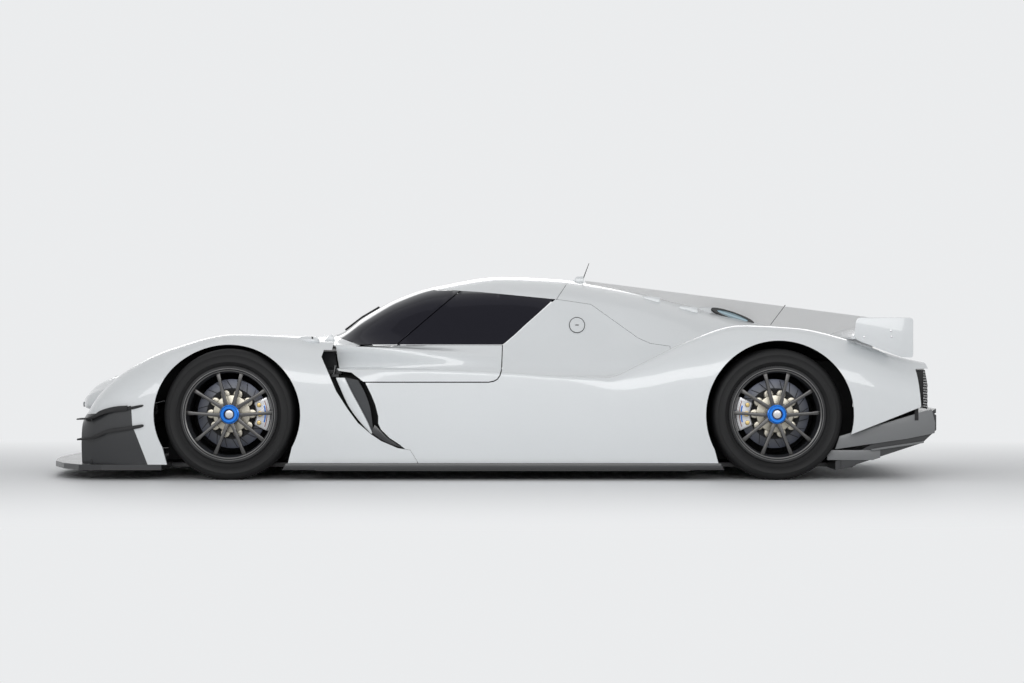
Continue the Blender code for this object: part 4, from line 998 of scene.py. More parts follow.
def upright(obj: Piece) -> Piece:
    """A piece modelled flat, turned so that its Y becomes height and its Z becomes distance outwards.

    Args:
        obj: the piece.

    Returns:
        The piece.
    """
    for vert in obj.data.vertices:
        vert.co.y, vert.co.z = vert.co.z, vert.co.y
    obj.data.flip_normals()
    return obj


def bump(name: str, centre: Sequence[float], half: Sequence[float], steps: int = 32) -> Piece:
    """A smooth egg-shaped body.

    Args:
        name: the object's name.
        centre: its middle.
        half: its half lengths.
        steps: faces round it.

    Returns:
        A closed solid.
    """
    bm = bmesh.new()
    place = Matrix.Translation(centre) @ Matrix.Diagonal((*half, 1.0))
    bmesh.ops.create_uvsphere(bm, u_segments=steps, v_segments=steps // 2, radius=1.0, matrix=place)
    return held(name, bm)


@dataclass
class Skin:
    """The car's outer surface: section rows at stations, blended smoothly between them."""

    rows: Rows
    pieces: int = 5
    crisp: Outline = ((0.0, 0.0),)

    def half(self, x: float) -> list[Vector]:
        """The half section at a station.

        Args:
            x: the station.

        Returns:
            (y, z) points from the sill to the middle plane.
        """
        stations = np.array(self.rows)
        row = [monotone(stations[:, 0], stations[:, c], x) for c in range(1, stations.shape[1])]
        wide, crown_y, crown_z = row[:3]
        height = crown_z - SILL_Z
        edge = float(np.interp(x, *zip(*self.crisp)))
        knots = [(wide - 0.02, SILL_Z), (wide, SILL_Z + 0.45 * height)]
        knots += [(wide - 0.03 + 0.025 * edge, SILL_Z + (0.82 + 0.14 * edge) * height)]
        knots += [
            (crown_y + 0.070 * edge, crown_z - 0.001 * edge), (row[3] + 0.010 * edge, row[4]),
            (row[5], row[6]), (row[7], row[8])
        ]
        knots += [(row[9], row[10]), (row[11], row[12]), (0.0, row[13])]
        points = [Vector(k) for k in knots]
        before = points[0] + (points[0] - points[1])
        after = Vector((-points[-2].x, points[-2].y))
        return curve_through([before, *points, after], self.pieces)

    def height(self, x: float, y: float) -> float:
        """The surface's height at a point, read from the middle plane outwards.

        Args:
            x: the station.
            y: distance from the middle plane, on either side.

        Returns:
            Z of the surface.
        """
        points = self.half(x)[::-1]
        for near, far in zip(points, points[1:]):
            if near.x <= abs(y) <= far.x:
                return near.y + (far.y - near.y) * (abs(y) - near.x) / max(far.x - near.x, 1e-9)
        return points[-1].y

    def reach(self, x: float, z: float) -> float:
        """The surface's outermost half width at a height.

        Args:
            x: the station.
            z: the height.

        Returns:
            Distance from the middle plane.
        """
        points = self.half(x)
        found = [points[0].x]
        for low, high in zip(points, points[1:]):
            if min(low.y, high.y) <= z <= max(low.y, high.y) and abs(high.y - low.y) > 1e-6:
                found.append(low.x + (high.x - low.x) * (z - low.y) / (high.y - low.y))
        return max(found[1:], default=found[0])

    def hung(self, obj: Piece, side: Side) -> Piece:
        """Hangs a piece on one flank: its own Y becomes distance out from the surface.

        Args:
            obj: the piece.
            side: the car's side.

        Returns:
            The piece.
        """
        for vert in obj.data.vertices:
            vert.co.y = side.value * (self.reach(vert.co.x, vert.co.z) + vert.co.y)
        if side is Side.LEFT:
            obj.data.flip_normals()
        return obj

    def sheet(self, name: str, stations: Sequence[float], wall: float, finishes: Sequence[Finish]) -> Piece:
        """A wall of the body over the full width.

        Args:
            name: the object's name.
            stations: where sections lie.
            wall: its thickness, inwards.
            finishes: what its outer side wears, and its inner side if that differs.

        Returns:
            A closed shell.
        """
        halves = [self.half(x) for x in stations]
        across, along = 2 * (len(halves[0]) - 1), len(stations) - 1
        bm = bmesh.new()
        bmesh.ops.create_grid(bm, x_segments=along, y_segments=across, size=1.0)
        for vert in bm.verts:
            i, j = round((vert.co.x + 1) / 2 * along), round((vert.co.y + 1) / 2 * across)
            side = -1 if j <= across // 2 else 1
            point = halves[i][min(j, across - j)]
            vert.co = (stations[i], side * point.x, point.y)
        bmesh.ops.recalc_face_normals(bm, faces=bm.faces)
        if sum(f.normal.z * f.calc_area() for f in bm.faces) < 0:
            bmesh.ops.reverse_faces(bm, faces=bm.faces)
        obj = held(name, bm)
        for finish in finishes:
            obj.data.materials.append(material(finish))
        step = obj.modifiers.new("wall", "SOLIDIFY")
        step.material_offset = len(finishes) - 1
        step.thickness = wall
        step.offset = -1.0
        step.use_even_offset = False
        return settled(obj)


def stations(low: float, high: float, step: float = 0.028) -> list[float]:
    """Even stations from low to high."""
    count = max(1, round((high - low) / step))
    return [low + (high - low) * i / count for i in range(count + 1)]


def arch_outline(end: End) -> list[Pair]:
    """A wheel opening in side view.

    Args:
        end: the end of the car that it lies at.

    Returns:
        (x, z) points.
    """
    shift, wide, tall = (-0.008, 0.395, 0.376) if end is End.FRONT else (0.010, 0.398, 0.398)
    middle_x = end.value + shift
    start = math.radians(-28.0)
    turns = [start + (math.pi - 2 * start) * i / 60 for i in range(61)]
    arc = [(middle_x + wide * math.cos(a), TYRE_RADIUS + tall * math.sin(a)) for a in turns]
    sill, ground = wide - 0.070, wide - 0.100
    foot = [(-sill, SILL_Z), (-ground, -0.05), (ground, -0.05), (sill, SILL_Z)]
    return arc + [(middle_x + x, z) for x, z in foot]


@dataclass
class BodyShell:
    """Painted panels from nose to tail, with the black corner panels, dive planes, vents and skirts."""

    wall: float = 0.014
    front_step: float = 0.026
    # The panels' inner side wears the near-black composite: partly their raw composite back, partly painted
    # shade behind the arch lips and the openings.
    finishes: tuple[Finish, ...] = (Finish.PAINT, Finish.LINING)
    window_y: float = 0.595
    cowl_y: float = 0.586
    cowl_front_x: float = -0.895
    cover_y: float = 0.690
    deck_end_x: float = 2.41
    fin_thickness: float = 0.018
    front_rows: Rows = (
        (-2.18, 0.900, 0.76, 0.345, 0.64, 0.325, 0.50, 0.305, 0.38, 0.330, 0.30, 0.400, 0.20, 0.485, 0.535),
        (-2.10, 0.945, 0.77, 0.465, 0.63, 0.425, 0.49, 0.335, 0.385, 0.36, 0.31, 0.440, 0.21, 0.520, 0.562),
        (-1.95, 0.970, 0.78, 0.592, 0.62, 0.530, 0.485, 0.39, 0.39, 0.420, 0.325, 0.50, 0.225, 0.575, 0.605),
        (-1.70, 0.985, 0.785, 0.71, 0.56, 0.665, 0.48, 0.470, 0.40, 0.500, 0.34, 0.575, 0.24, 0.640, 0.660),
        (-1.375, 0.992, 0.785, 0.784, 0.56, 0.730, 0.47, 0.560, 0.41, 0.585, 0.36, 0.650, 0.26, 0.705, 0.722),
        (-1.05, 0.990, 0.775, 0.770, 0.62, 0.735, 0.56, 0.675, 0.51, 0.680, 0.45, 0.705, 0.31, 0.748, 0.767),
        (-0.88, 0.985, 0.765, 0.745, 0.70, 0.732, 0.66, 0.726, 0.63, 0.728, 0.58, 0.733, 0.345, 0.768, 0.787),
        (-0.35, 0.984, 0.765, 0.735, 0.70, 0.730, 0.66, 0.726, 0.63, 0.728, 0.58, 0.733, 0.345, 0.768, 0.787),
    )
    rear_rows: Rows = (
        (-0.95, 0.960, 0.88, 0.600, 0.79, 0.590, 0.71, 0.610, 0.765, 0.725, 0.60, 0.735, 0.34, 0.762, 0.778),
        (-0.86, 0.970, 0.885, 0.60, 0.79, 0.590, 0.71, 0.610, 0.765, 0.725, 0.60, 0.730, 0.345, 0.768, 0.790),
        (-0.70, 0.978, 0.89, 0.598, 0.80, 0.588, 0.715, 0.608, 0.755, 0.720, 0.61, 0.727, 0.40, 0.845, 0.895),
        (-0.50, 0.982, 0.895, 0.598, 0.81, 0.586, 0.72, 0.604, 0.735, 0.705, 0.62, 0.727, 0.43, 0.935, 1.000),
        (-0.30, 0.984, 0.90, 0.596, 0.82, 0.582, 0.725, 0.598, 0.715, 0.688, 0.625, 0.727, 0.44, 0.99, 1.062),
        (0.10, 0.985, 0.90, 0.582, 0.83, 0.566, 0.735, 0.580, 0.690, 0.650, 0.625, 0.727, 0.44, 1.015, 1.122),
        (0.42, 0.985, 0.90, 0.560, 0.83, 0.548, 0.735, 0.565, 0.680, 0.640, 0.61, 0.735, 0.42, 1.000, 1.108),
        (0.65, 0.986, 0.895, 0.552, 0.81, 0.548, 0.71, 0.565, 0.66, 0.640, 0.58, 0.745, 0.38, 0.975, 1.075),
        (0.86, 0.990, 0.87, 0.635, 0.77, 0.600, 0.67, 0.600, 0.62, 0.665, 0.545, 0.76, 0.34, 0.945, 1.035),
        (1.10, 0.996, 0.83, 0.748, 0.71, 0.680, 0.62, 0.650, 0.57, 0.690, 0.50, 0.765, 0.30, 0.895, 0.975),
        (1.40, 1.000, 0.80, 0.835, 0.66, 0.760, 0.56, 0.700, 0.50, 0.710, 0.43, 0.755, 0.25, 0.840, 0.900),
        (1.70, 1.000, 0.80, 0.820, 0.65, 0.755, 0.53, 0.690, 0.46, 0.690, 0.38, 0.720, 0.21, 0.780, 0.825),
        (2.00, 0.990, 0.80, 0.752, 0.65, 0.700, 0.53, 0.655, 0.45, 0.650, 0.36, 0.665, 0.20, 0.700, 0.735),
        (2.25, 0.975, 0.79, 0.668, 0.65, 0.640, 0.53, 0.625, 0.45, 0.622, 0.35, 0.625, 0.20, 0.640, 0.655),
        (2.41, 0.965, 0.78, 0.628, 0.65, 0.620, 0.53, 0.618, 0.45, 0.618, 0.35, 0.618, 0.20, 0.620, 0.625),
    )
    nose_rows: Rows = (
        (-2.150, 0.335, 0.425, 0.205, 0.502, 0.548, 0.345),
        (-2.205, 0.322, 0.420, 0.198, 0.480, 0.524, 0.350),
        (-2.250, 0.292, 0.414, 0.178, 0.462, 0.500, 0.353),
        (-2.285, 0.235, 0.405, 0.140, 0.440, 0.470, 0.358),
        (-2.310, 0.150, 0.398, 0.085, 0.420, 0.438, 0.368),
    )
    window_line: Outline = (
        (-0.875, 0.790), (-0.70, 0.731), (0.097, 0.731), (0.168, 0.791), (0.240, 0.858), (0.3015, 0.912),
        (0.381, 0.985),
    )
    roof_edge: Outline = ((0.381, 0.985), (-0.03, 1.025), (-0.17, 1.035), (-0.32, 1.048))
    glass_front: Outline = ((-0.36, 1.13), (-0.94, 0.84))
    pillar: Outline = ((-0.50, 0.727), (-0.145, 1.035))
    roof_seam: Outline = ((0.401, 0.985), (0.505, 1.14))
    door_edge: Outline = (
        (-0.817, 0.770), (-0.808, 0.6625), (-0.800, 0.603), (-0.787, 0.590), (-0.715, 0.580), (-0.65, 0.532),
        (0.025, 0.532), (0.053, 0.538), (0.070, 0.548), (0.082, 0.566), (0.090, 0.595), (0.095, 0.727),
        (-0.49, 0.727), (-0.53, 0.715), (-0.70, 0.720),
    )
    fender_tail: Outline = (
        (-0.872, 0.702), (-0.880, 0.665), (-0.848, 0.600), (-0.795, 0.480), (-0.732, 0.382), (-0.6785, 0.310),
        (-0.607, 0.248), (-0.5537, 0.212), (-0.4644, 0.174), (-0.3977, 0.163),
    )
    seam_foot: Pair = (-0.300, 0.0)
    crisp_pod: Outline = (
        (-0.84, 0.0), (-0.70, 0.5), (-0.55, 1.0), (0.60, 1.0), (0.90, 0.5), (1.20, 0.1), (2.41, 0.0),
    )
    # Outlines of the walls inside the wheel housings and the vent, which are painted near-black as shade.
    liner_front: Outline = (
        (-1.775, 0.090), (-1.775, 0.432), (-1.675, 0.448), (-1.375, 0.532), (-1.05, 0.630), (-0.975, 0.630),
        (-0.975, 0.090),
    )
    liner_rear: Outline = (
        (1.18, 0.090), (1.18, 0.600), (1.28, 0.640), (1.98, 0.640), (2.06, 0.620), (2.06, 0.160),
        (1.93, 0.090),
    )
    vent_back: Outline = ((-0.90, 0.20), (-0.90, 0.572), (-0.60, 0.552), (-0.46, 0.20))
    pod_face: Outline = (
        (-0.455, 0.194), (-0.509, 0.230), (-0.5537, 0.2745), (-0.569, 0.306), (-0.569, 0.346),
        (-0.585, 0.4085), (-0.607, 0.462), (-0.638, 0.524), (-0.6565, 0.551), (-0.688, 0.567),
        (-0.696, 0.596),
    )
    cover_seam: Outline = ((0.401, 0.985), (0.594, 0.957), (0.852, 0.7685), (0.92, 0.737), (1.03, 0.722))
    corner_edge: Outline = (
        (-2.25, 0.346), (-2.05, 0.362), (-1.90, 0.402), (-1.893, 0.295), (-1.875, 0.250), (-1.80, 0.05),
        (-2.25, 0.05),
    )
    tail_flank: Outline = (
        (1.90, 0.05), (1.90, 0.2185), (1.983, 0.2525), (2.352, 0.396), (2.352, 0.41), (2.335, 0.60),
        (2.60, 0.60), (2.60, 0.05),
    )
    front: Skin = field(init=False)
    rear: Skin = field(init=False)

    def __post_init__(self) -> None:
        """Makes the two surfaces that the panels are cut from."""
        self.front = Skin(self.front_rows)
        self.rear = Skin(self.rear_rows, crisp=self.crisp_pod)

    def glass_outline(self) -> list[Pair]:
        """Side view of all window glass."""
        return [*self.window_line, *self.roof_edge[1:], *self.glass_front]

    def roof_outline(self) -> list[Pair]:
        """Side view of the roof panel."""
        start = [self.roof_edge[-1], *reversed(self.roof_edge[:-1])]
        return [*start, self.roof_seam[0], self.roof_seam[1], (-0.10, 1.35), (-0.36, 1.20)]

    def cover_outline(self) -> list[Pair]:
        """Side view of the engine cover."""
        return [self.roof_seam[1], *self.cover_seam, (1.03, 0.45), (2.7, 0.45), (2.7, 1.35), (0.505, 1.35)]

    def open_arches(self, obj: Piece, end: End) -> None:
        """Cuts both wheel openings of one end out of a panel."""
        for side in Side:
            cut(obj, prism("arch", arch_outline(end), *side.span(0.70, BEYOND)))

    def front_clam(self) -> None:
        """Nose deck and both front fenders."""
        body = self.front.sheet(
            "clam_paint", stations(-2.18, -0.36, self.front_step), self.wall, self.finishes
        )
        shut_x = self.door_edge[0][0] - DOOR_GAP
        tail = [
            *self.fender_tail, self.seam_foot, (-0.10, 0.0), (-0.10, 1.2), (shut_x, 1.2),
            (shut_x, self.fender_tail[0][1])
        ]
        cut(body, prism("tail", tail, -BEYOND, BEYOND))
        centre = self.cowl_y + SEAM
        cut(body, brick("cowl_hole", (self.cowl_front_x - SEAM, -centre, 0.55), (0.0, centre, 1.2)))
        cut(body, prism("corner", widened(self.corner_edge, SEAM / 2), -BEYOND, BEYOND))
        self.open_arches(body, End.FRONT)
        for side in Side:
            cut(body, brick("lamp_hole", *self.lamp_block(side, SEAM)))
        cut(body, self.nose(), Keep.BOTH)
        dressed(body, Finish.PAINT, "front_clam", slot="white_paint")

    def lamp_block(self, side: Side, gap: float) -> tuple[Triple, Triple]:
        """Corners of the block that a headlamp is cut with."""
        low, high = side.span(0.668 - gap, 0.790 + gap)
        return (-2.168 - gap, low, 0.376 - gap), (-2.035 + gap, high, 0.60 + gap)

    def nose(self) -> Piece:
        """The rounded nose ahead of the fenders.

        Returns:
            A closed solid.
        """
        rows = np.array(self.nose_rows)[::-1]
        xs = [-2.150 - 0.160 * math.sin(math.pi / 2 * i / 14) for i in range(15)]
        rings = []
        for x in [xs[0] + 0.002, *xs[1:]]:
            values = [monotone(rows[:, 0], rows[:, c], x) for c in range(1, rows.shape[1])]
            rings.append(self.nose_ring(x, *values))
        bm = bmesh.new()
        loops = []
        for ring in rings:
            verts = [bm.verts.new(p) for p in ring]
            loops.append([bm.edges.new(pair) for pair in zip(verts, verts[1:] + verts[:1])])
        for first, second in zip(loops, loops[1:]):
            bmesh.ops.bridge_loops(bm, edges=first + second)
        bmesh.ops.holes_fill(bm, edges=bm.edges, sides=0)
        bmesh.ops.recalc_face_normals(bm, faces=bm.faces)
        caps = [f for f in bm.faces if len(f.verts) > 4]
        front = min(caps, key=lambda f: f.calc_center_median().x)
        for scale, step in ((0.90, -0.003), (0.82, -0.0015)):
            bmesh.ops.inset_region(bm, faces=[front], thickness=0.010, use_even_offset=False)
            bmesh.ops.translate(bm, vec=(step * scale, 0, 0), verts=front.verts)
        return held("nose", bm)

    def nose_ring(
        self, x: float, belt_y: float, belt_z: float, rail_y: float, rail_z: float, top_z: float,
        chin_z: float
    ) -> list[Triple]:
        """One closed ring of the nose.

        Args:
            x: its station.
            belt_y: half width at the belt.
            belt_z: the belt's height.
            rail_y: half width at the shoulder.
            rail_z: the shoulder's height.
            top_z: height in the middle.
            chin_z: the underside's height.

        Returns:
            Points round the ring.
        """
        half = [
            (0.0, chin_z), (0.5 * belt_y, chin_z), (belt_y - 0.02, chin_z + 0.012),
            (belt_y, (belt_z + chin_z) / 2)
        ]
        half += [
            (belt_y - 0.01, belt_z), ((belt_y + rail_y) / 2, (belt_z + rail_z) / 2 + 0.012), (rail_y, rail_z)
        ]
        half += [(rail_y / 2, (rail_z + top_z * 2) / 3), (0.0, top_z)]
        knots = [Vector(p) for p in half]
        knots = [Vector((-knots[1].x, knots[1].y)), *knots, Vector((-knots[-2].x, knots[-2].y))]
        points = curve_through(knots, 4)
        return [(x, -p.x, p.y) for p in points] + [(x, p.x, p.y) for p in reversed(points[1:-1])]

    def corner_panel(self, side: Side) -> None:
        """Black panel at the foot of one front fender.

        Args:
            side: the car's side.
        """
        body = self.front.sheet(
            f"corner_{side}", stations(-2.18, -1.74, self.front_step), self.wall,
            (Finish.CARBON, Finish.LINING)
        )
        cut(body, prism("corner", self.corner_edge, *side.span(0.60, BEYOND)), Keep.SHARED)
        rib = prism(
            f"corner_rib_{side}", [(-2.124, SILL_Z), (-2.1185, SILL_Z), (-2.1185, 0.333), (-2.124, 0.332)],
            -0.006, 0.0025
        )
        dressed(self.front.hung(rib, side), Finish.GLOSS_BLACK)
        dressed(body, Finish.CARBON, f"corner_panel_{side}", slot="carbon")

    def dive_planes(self, side: Side) -> None:
        """The two curved blades on one front corner, each with its narrow tail.

        Args:
            side: the car's side.
        """
        lip = smoothed([
            (-2.190, 0.327), (-2.135, 0.329), (-2.095, 0.337), (-2.055, 0.354), (-2.01, 0.366),
            (-1.918, 0.376)
        ])
        lip += smoothed([
            (-1.918, 0.404), (-1.99, 0.398), (-2.06, 0.378), (-2.10, 0.352), (-2.135, 0.338), (-2.190, 0.334)
        ])
        tail = [
            (-1.93, 0.378), (-1.89, 0.383), (-1.84, 0.396), (-1.831, 0.402), (-1.834, 0.408), (-1.85, 0.407),
            (-1.93, 0.392)
        ]
        low = smoothed([
            (-2.188, 0.217), (-2.13, 0.220), (-2.085, 0.229), (-2.03, 0.252), (-1.95, 0.264), (-1.850, 0.283)
        ])
        low += [(-1.834, 0.289), (-1.829, 0.296), (-1.834, 0.302), (-1.846, 0.302)]
        low += smoothed([(-1.95, 0.286), (-2.03, 0.274), (-2.085, 0.250), (-2.13, 0.232), (-2.188, 0.226)])
        body = prism(f"dive_planes_{side}", lip, *side.span(0.868, 0.990))
        merged(
            body, prism("tail", tail, *side.span(0.92, 0.984)), prism("low", low, *side.span(0.868, 0.990))
        )
        dressed(eased(body, 0.0018, 2, 50.0), Finish.LINING, f"corner_panel_{side}")

    def vent(self, side: Side) -> None:
        """The white blade, the grey blade behind it and the dark foot in the vent behind one front wheel.

        Args:
            side: the car's side.
        """
        front = smoothed([
            (-0.800, 0.553), (-0.765, 0.470), (-0.730, 0.397), (-0.675, 0.320), (-0.612, 0.250)
        ])
        rear = smoothed([(-0.602, 0.252), (-0.632, 0.320), (-0.672, 0.397), (-0.712, 0.470), (-0.752, 0.553)])
        blade = prism(f"vent_blade_white_{side}", front + rear, *side.span(0.86, 0.955))
        dressed(eased(blade, 0.004, 3), Finish.PAINT, f"vent_blade_{side}", slot="white_paint")
        deep = smoothed([(-0.752, 0.553), (-0.712, 0.470), (-0.672, 0.397), (-0.632, 0.320), (-0.602, 0.252)])
        deep += smoothed([(-0.602, 0.280), (-0.619, 0.397), (-0.650, 0.480), (-0.684, 0.540)])
        slate = prism(f"vent_blade_slate_{side}", deep, *side.span(0.87, 0.913))
        merged(slate, brick("strut", *self.strut(side), 0.004))
        dressed(slate, Finish.SLATE, f"vent_blade_{side}", slot="white_paint")
        low = [
            (-0.612, 0.250), (-0.533, 0.199), (-0.420, 0.168), (-0.479, 0.203), (-0.533, 0.243),
            (-0.590, 0.300)
        ]
        foot = prism(f"vent_foot_{side}", low, *side.span(0.90, 0.945))
        dressed(eased(foot, 0.002), Finish.CARBON, f"vent_blade_{side}", slot="white_paint")

    def strut(self, side: Side) -> tuple[Triple, Triple]:
        """Corners of the bar that carries the vent's blades from the cabin cell."""
        low, high = side.span(0.5604, 0.90)
        return (-0.72, low, 0.40), (-0.66, high, 0.42)

    def liners(self, side: Side) -> None:
        """Near-black inner walls that close the wheel housings and the vent towards the middle of the car,
        painted as the shade inside those hollows.

        Args:
            side: the car's side.
        """
        # Painted shade: these walls are near-black so that the wheel housings and the vent look deep in
        # shade.
        for end, outline in ((End.FRONT, self.liner_front), (End.REAR, self.liner_rear)):
            body = prism(f"wheel_housing_{end}_{side}", outline, *side.span(0.462, 0.468))
            dressed(body, Finish.LINING)
        back = prism(f"vent_back_{side}", self.vent_back, *side.span(0.800, 0.806))
        dressed(back, Finish.LINING)

    def skirt(self, side: Side) -> None:
        """Black strip below one sill, with slanted ends.

        Args:
            side: the car's side.
        """
        outline = [(-1.086, 0.057), (-1.066, 0.0935), (1.272, 0.0935), (1.292, 0.057)]
        body = prism(f"skirt_{side}", outline, *side.span(0.946, 0.981))
        dressed(eased(body, 0.002), Finish.CARBON)

    def cowl(self) -> None:
        """Panel between the nose deck and the windscreen."""
        body = self.rear.sheet("cowl_paint", stations(-0.94, -0.66), self.wall, self.finishes)
        ahead = [
            (self.cowl_front_x, 0.5), (-0.66, 0.5), (-0.66, 0.70), *widened(self.glass_outline(), SEAM)[1::-1]
        ]
        cut(
            body, prism("cowl_cut", [*ahead, (self.cowl_front_x, 1.0)], -self.cowl_y, self.cowl_y),
            Keep.SHARED
        )
        dressed(body, Finish.PAINT, "cowl", slot="white_paint")

    def roof(self) -> None:
        """Roof skin from the screen to the seam behind the doors."""
        body = self.rear.sheet("roof_paint", stations(-0.36, 0.64), self.wall, self.finishes)
        cut(body, prism("roof_cut", widened(self.roof_outline(), -SEAM), -1.0, 1.0), Keep.SHARED)
        dressed(body, Finish.PAINT, "roof", slot="white_paint")

    def door(self, side: Side) -> None:
        """Outer skin of one door, over the solid door, which stays as its inner frame.

        Args:
            side: the car's side.
        """
        body = self.rear.sheet(f"door_paint_{side}", stations(-0.84, 0.16), self.wall, self.finishes)
        cut(body, prism("door_cut", self.door_edge, *side.span(self.window_y, BEYOND)), Keep.SHARED)
        dressed(body, Finish.PAINT, f"door_{side}", body=f"door_{str(side)[0]}", slot="white_paint")

    def side_body(self, side: Side) -> None:
        """Side pod and rear fender of one side.

        Args:
            side: the car's side.
        """
        body = self.rear.sheet(
            f"side_paint_{side}", stations(-0.72, self.deck_end_x), self.wall, self.finishes
        )
        low, high = side.span(0.02, BEYOND)
        cut(body, brick("half", (-3, low, -1), (3, high, 2)), Keep.SHARED)
        reach = side.span(0.01, 1.3)
        mouth = [self.seam_foot, *self.fender_tail[::-1], (-1.2, 0.702), (-1.2, 0.0)]
        cut(
            body,
            prism("front", [*self.pod_face, (-0.70, 0.62), (-0.9, 0.62), (-0.9, 0.15), (-0.40, 0.15)], *reach)
        )
        cut(body, prism("mouth", widened(mouth, SEAM), *reach))
        cut(body, prism("door_cut", widened(self.door_edge, DOOR_LIP), *reach))
        window = widened(self.glass_outline(), DOOR_LIP)[: len(self.window_line)]
        corner_z = self.roof_seam[0][1] - SEAM
        open_top = [
            (-1.2, window[0][1]), *window[:-1], (window[-1][0], corner_z),
            (self.roof_seam[0][0] + SEAM, corner_z)
        ]
        open_top += [
            (self.roof_seam[1][0] + SEAM, self.roof_seam[1][1]), (self.roof_seam[1][0] + SEAM, 1.5),
            (-1.2, 1.5)
        ]
        cut(body, prism("open_top", open_top, *reach))
        cut(
            body,
            prism("cover_cut", widened(self.cover_outline(), SEAM / 2), *side.span(0.01, self.cover_y + SEAM))
        )
        cut(body, prism("tail", self.tail_flank, *reach))
        self.open_arches(body, End.REAR)
        dressed(body, Finish.PAINT, f"side_body_{side}", slot="white_paint")

    def engine_cover(self) -> None:
        """Centre body behind the roof, with the fin."""
        body = self.rear.sheet("cover_paint", stations(0.36, self.deck_end_x), self.wall, self.finishes)
        cut(
            body, prism("cover", widened(self.cover_outline(), -SEAM / 2), -self.cover_y, self.cover_y),
            Keep.SHARED
        )
        fin = [(0.575, 1.1010), (2.20, 0.892), (2.225, 0.884), (2.238, 0.868), (2.25, 0.645)]
        fin += [(1.70, 0.812), (1.10, 0.962), (0.60, 1.050)]
        blade = prism("fin", fin, -self.fin_thickness / 2, self.fin_thickness / 2)
        cut(blade, prism("notch", widened(self.wing_profile(), 0.0006), -0.05, 0.05))
        cut(body, blade, Keep.BOTH)
        dressed(body, Finish.PAINT, "engine_cover", slot="white_paint")

    def wing_profile(self) -> list[Pair]:
        """Side view of the rear wing's plane.

        Returns:
            (x, z) points of a closed outline.
        """
        upper = smoothed([
            (1.985, 0.770), (2.00, 0.787), (2.04, 0.806), (2.10, 0.822), (2.18, 0.833), (2.30, 0.839)
        ])
        lower = smoothed([
            (2.30, 0.835), (2.20, 0.820), (2.12, 0.800), (2.05, 0.777), (2.01, 0.764), (1.99, 0.761)
        ])
        return upper + lower

    def build(self) -> None:
        """All panels."""
        self.front_clam()
        self.cowl()
        self.roof()
        self.engine_cover()
        for side in Side:
            self.side_body(side)
            self.door(side)
            self.corner_panel(side)
            self.dive_planes(side)
            self.vent(side)
            self.skirt(side)
            self.liners(side)


@dataclass
class Glazing:
    """Windscreen and door windows, cut from the body's surface."""

    shell: BodyShell
    thickness: float = 0.006

    def windscreen(self) -> None:
        """Wrap-round screen."""
        body = self.shell.rear.sheet("screen_glass", stations(-0.91, -0.13), self.thickness, (Finish.GLASS,))
        cut(body, prism("glass", self.shell.glass_outline(), -1.0, 1.0), Keep.SHARED)
        (low_x, low_z), high = self.shell.pillar
        behind = [(low_x - 0.02, low_z - 0.02), (low_x - 0.02, 0.5), (0.6, 0.5), (0.6, 1.5), (0.3, 1.5), high]
        cut(body, prism("behind", behind, -1.0, 1.0))
        dressed(body, Finish.GLASS, "windscreen", slot="dark_glass")

    def door_glass(self, side: Side) -> None:
        """Window of one door.

        Args:
            side: the car's side.
        """
        body = self.shell.rear.sheet(
            f"door_pane_{side}", stations(-0.53, 0.47), self.thickness, (Finish.GLASS,)
        )
        cut(body, prism("glass", self.shell.glass_outline(), *side.span(0.05, 1.0)), Keep.SHARED)
        (low_x, low_z), high = self.shell.pillar
        ahead = [
            (-1.5, 0.5), (low_x - 0.012, 0.5), (low_x - 0.012, low_z - 0.012), high, (-0.1, 1.5), (-1.5, 1.5)
        ]
        cut(body, prism("ahead", widened(ahead, DOOR_LIP), -1.0, 1.0))
        dressed(body, Finish.GLASS, f"door_glass_{side}", body=f"door_{str(side)[0]}", slot="dark_glass")

    def build(self) -> None:
        """All window glass."""
        self.windscreen()
        for side in Side:
            self.door_glass(side)


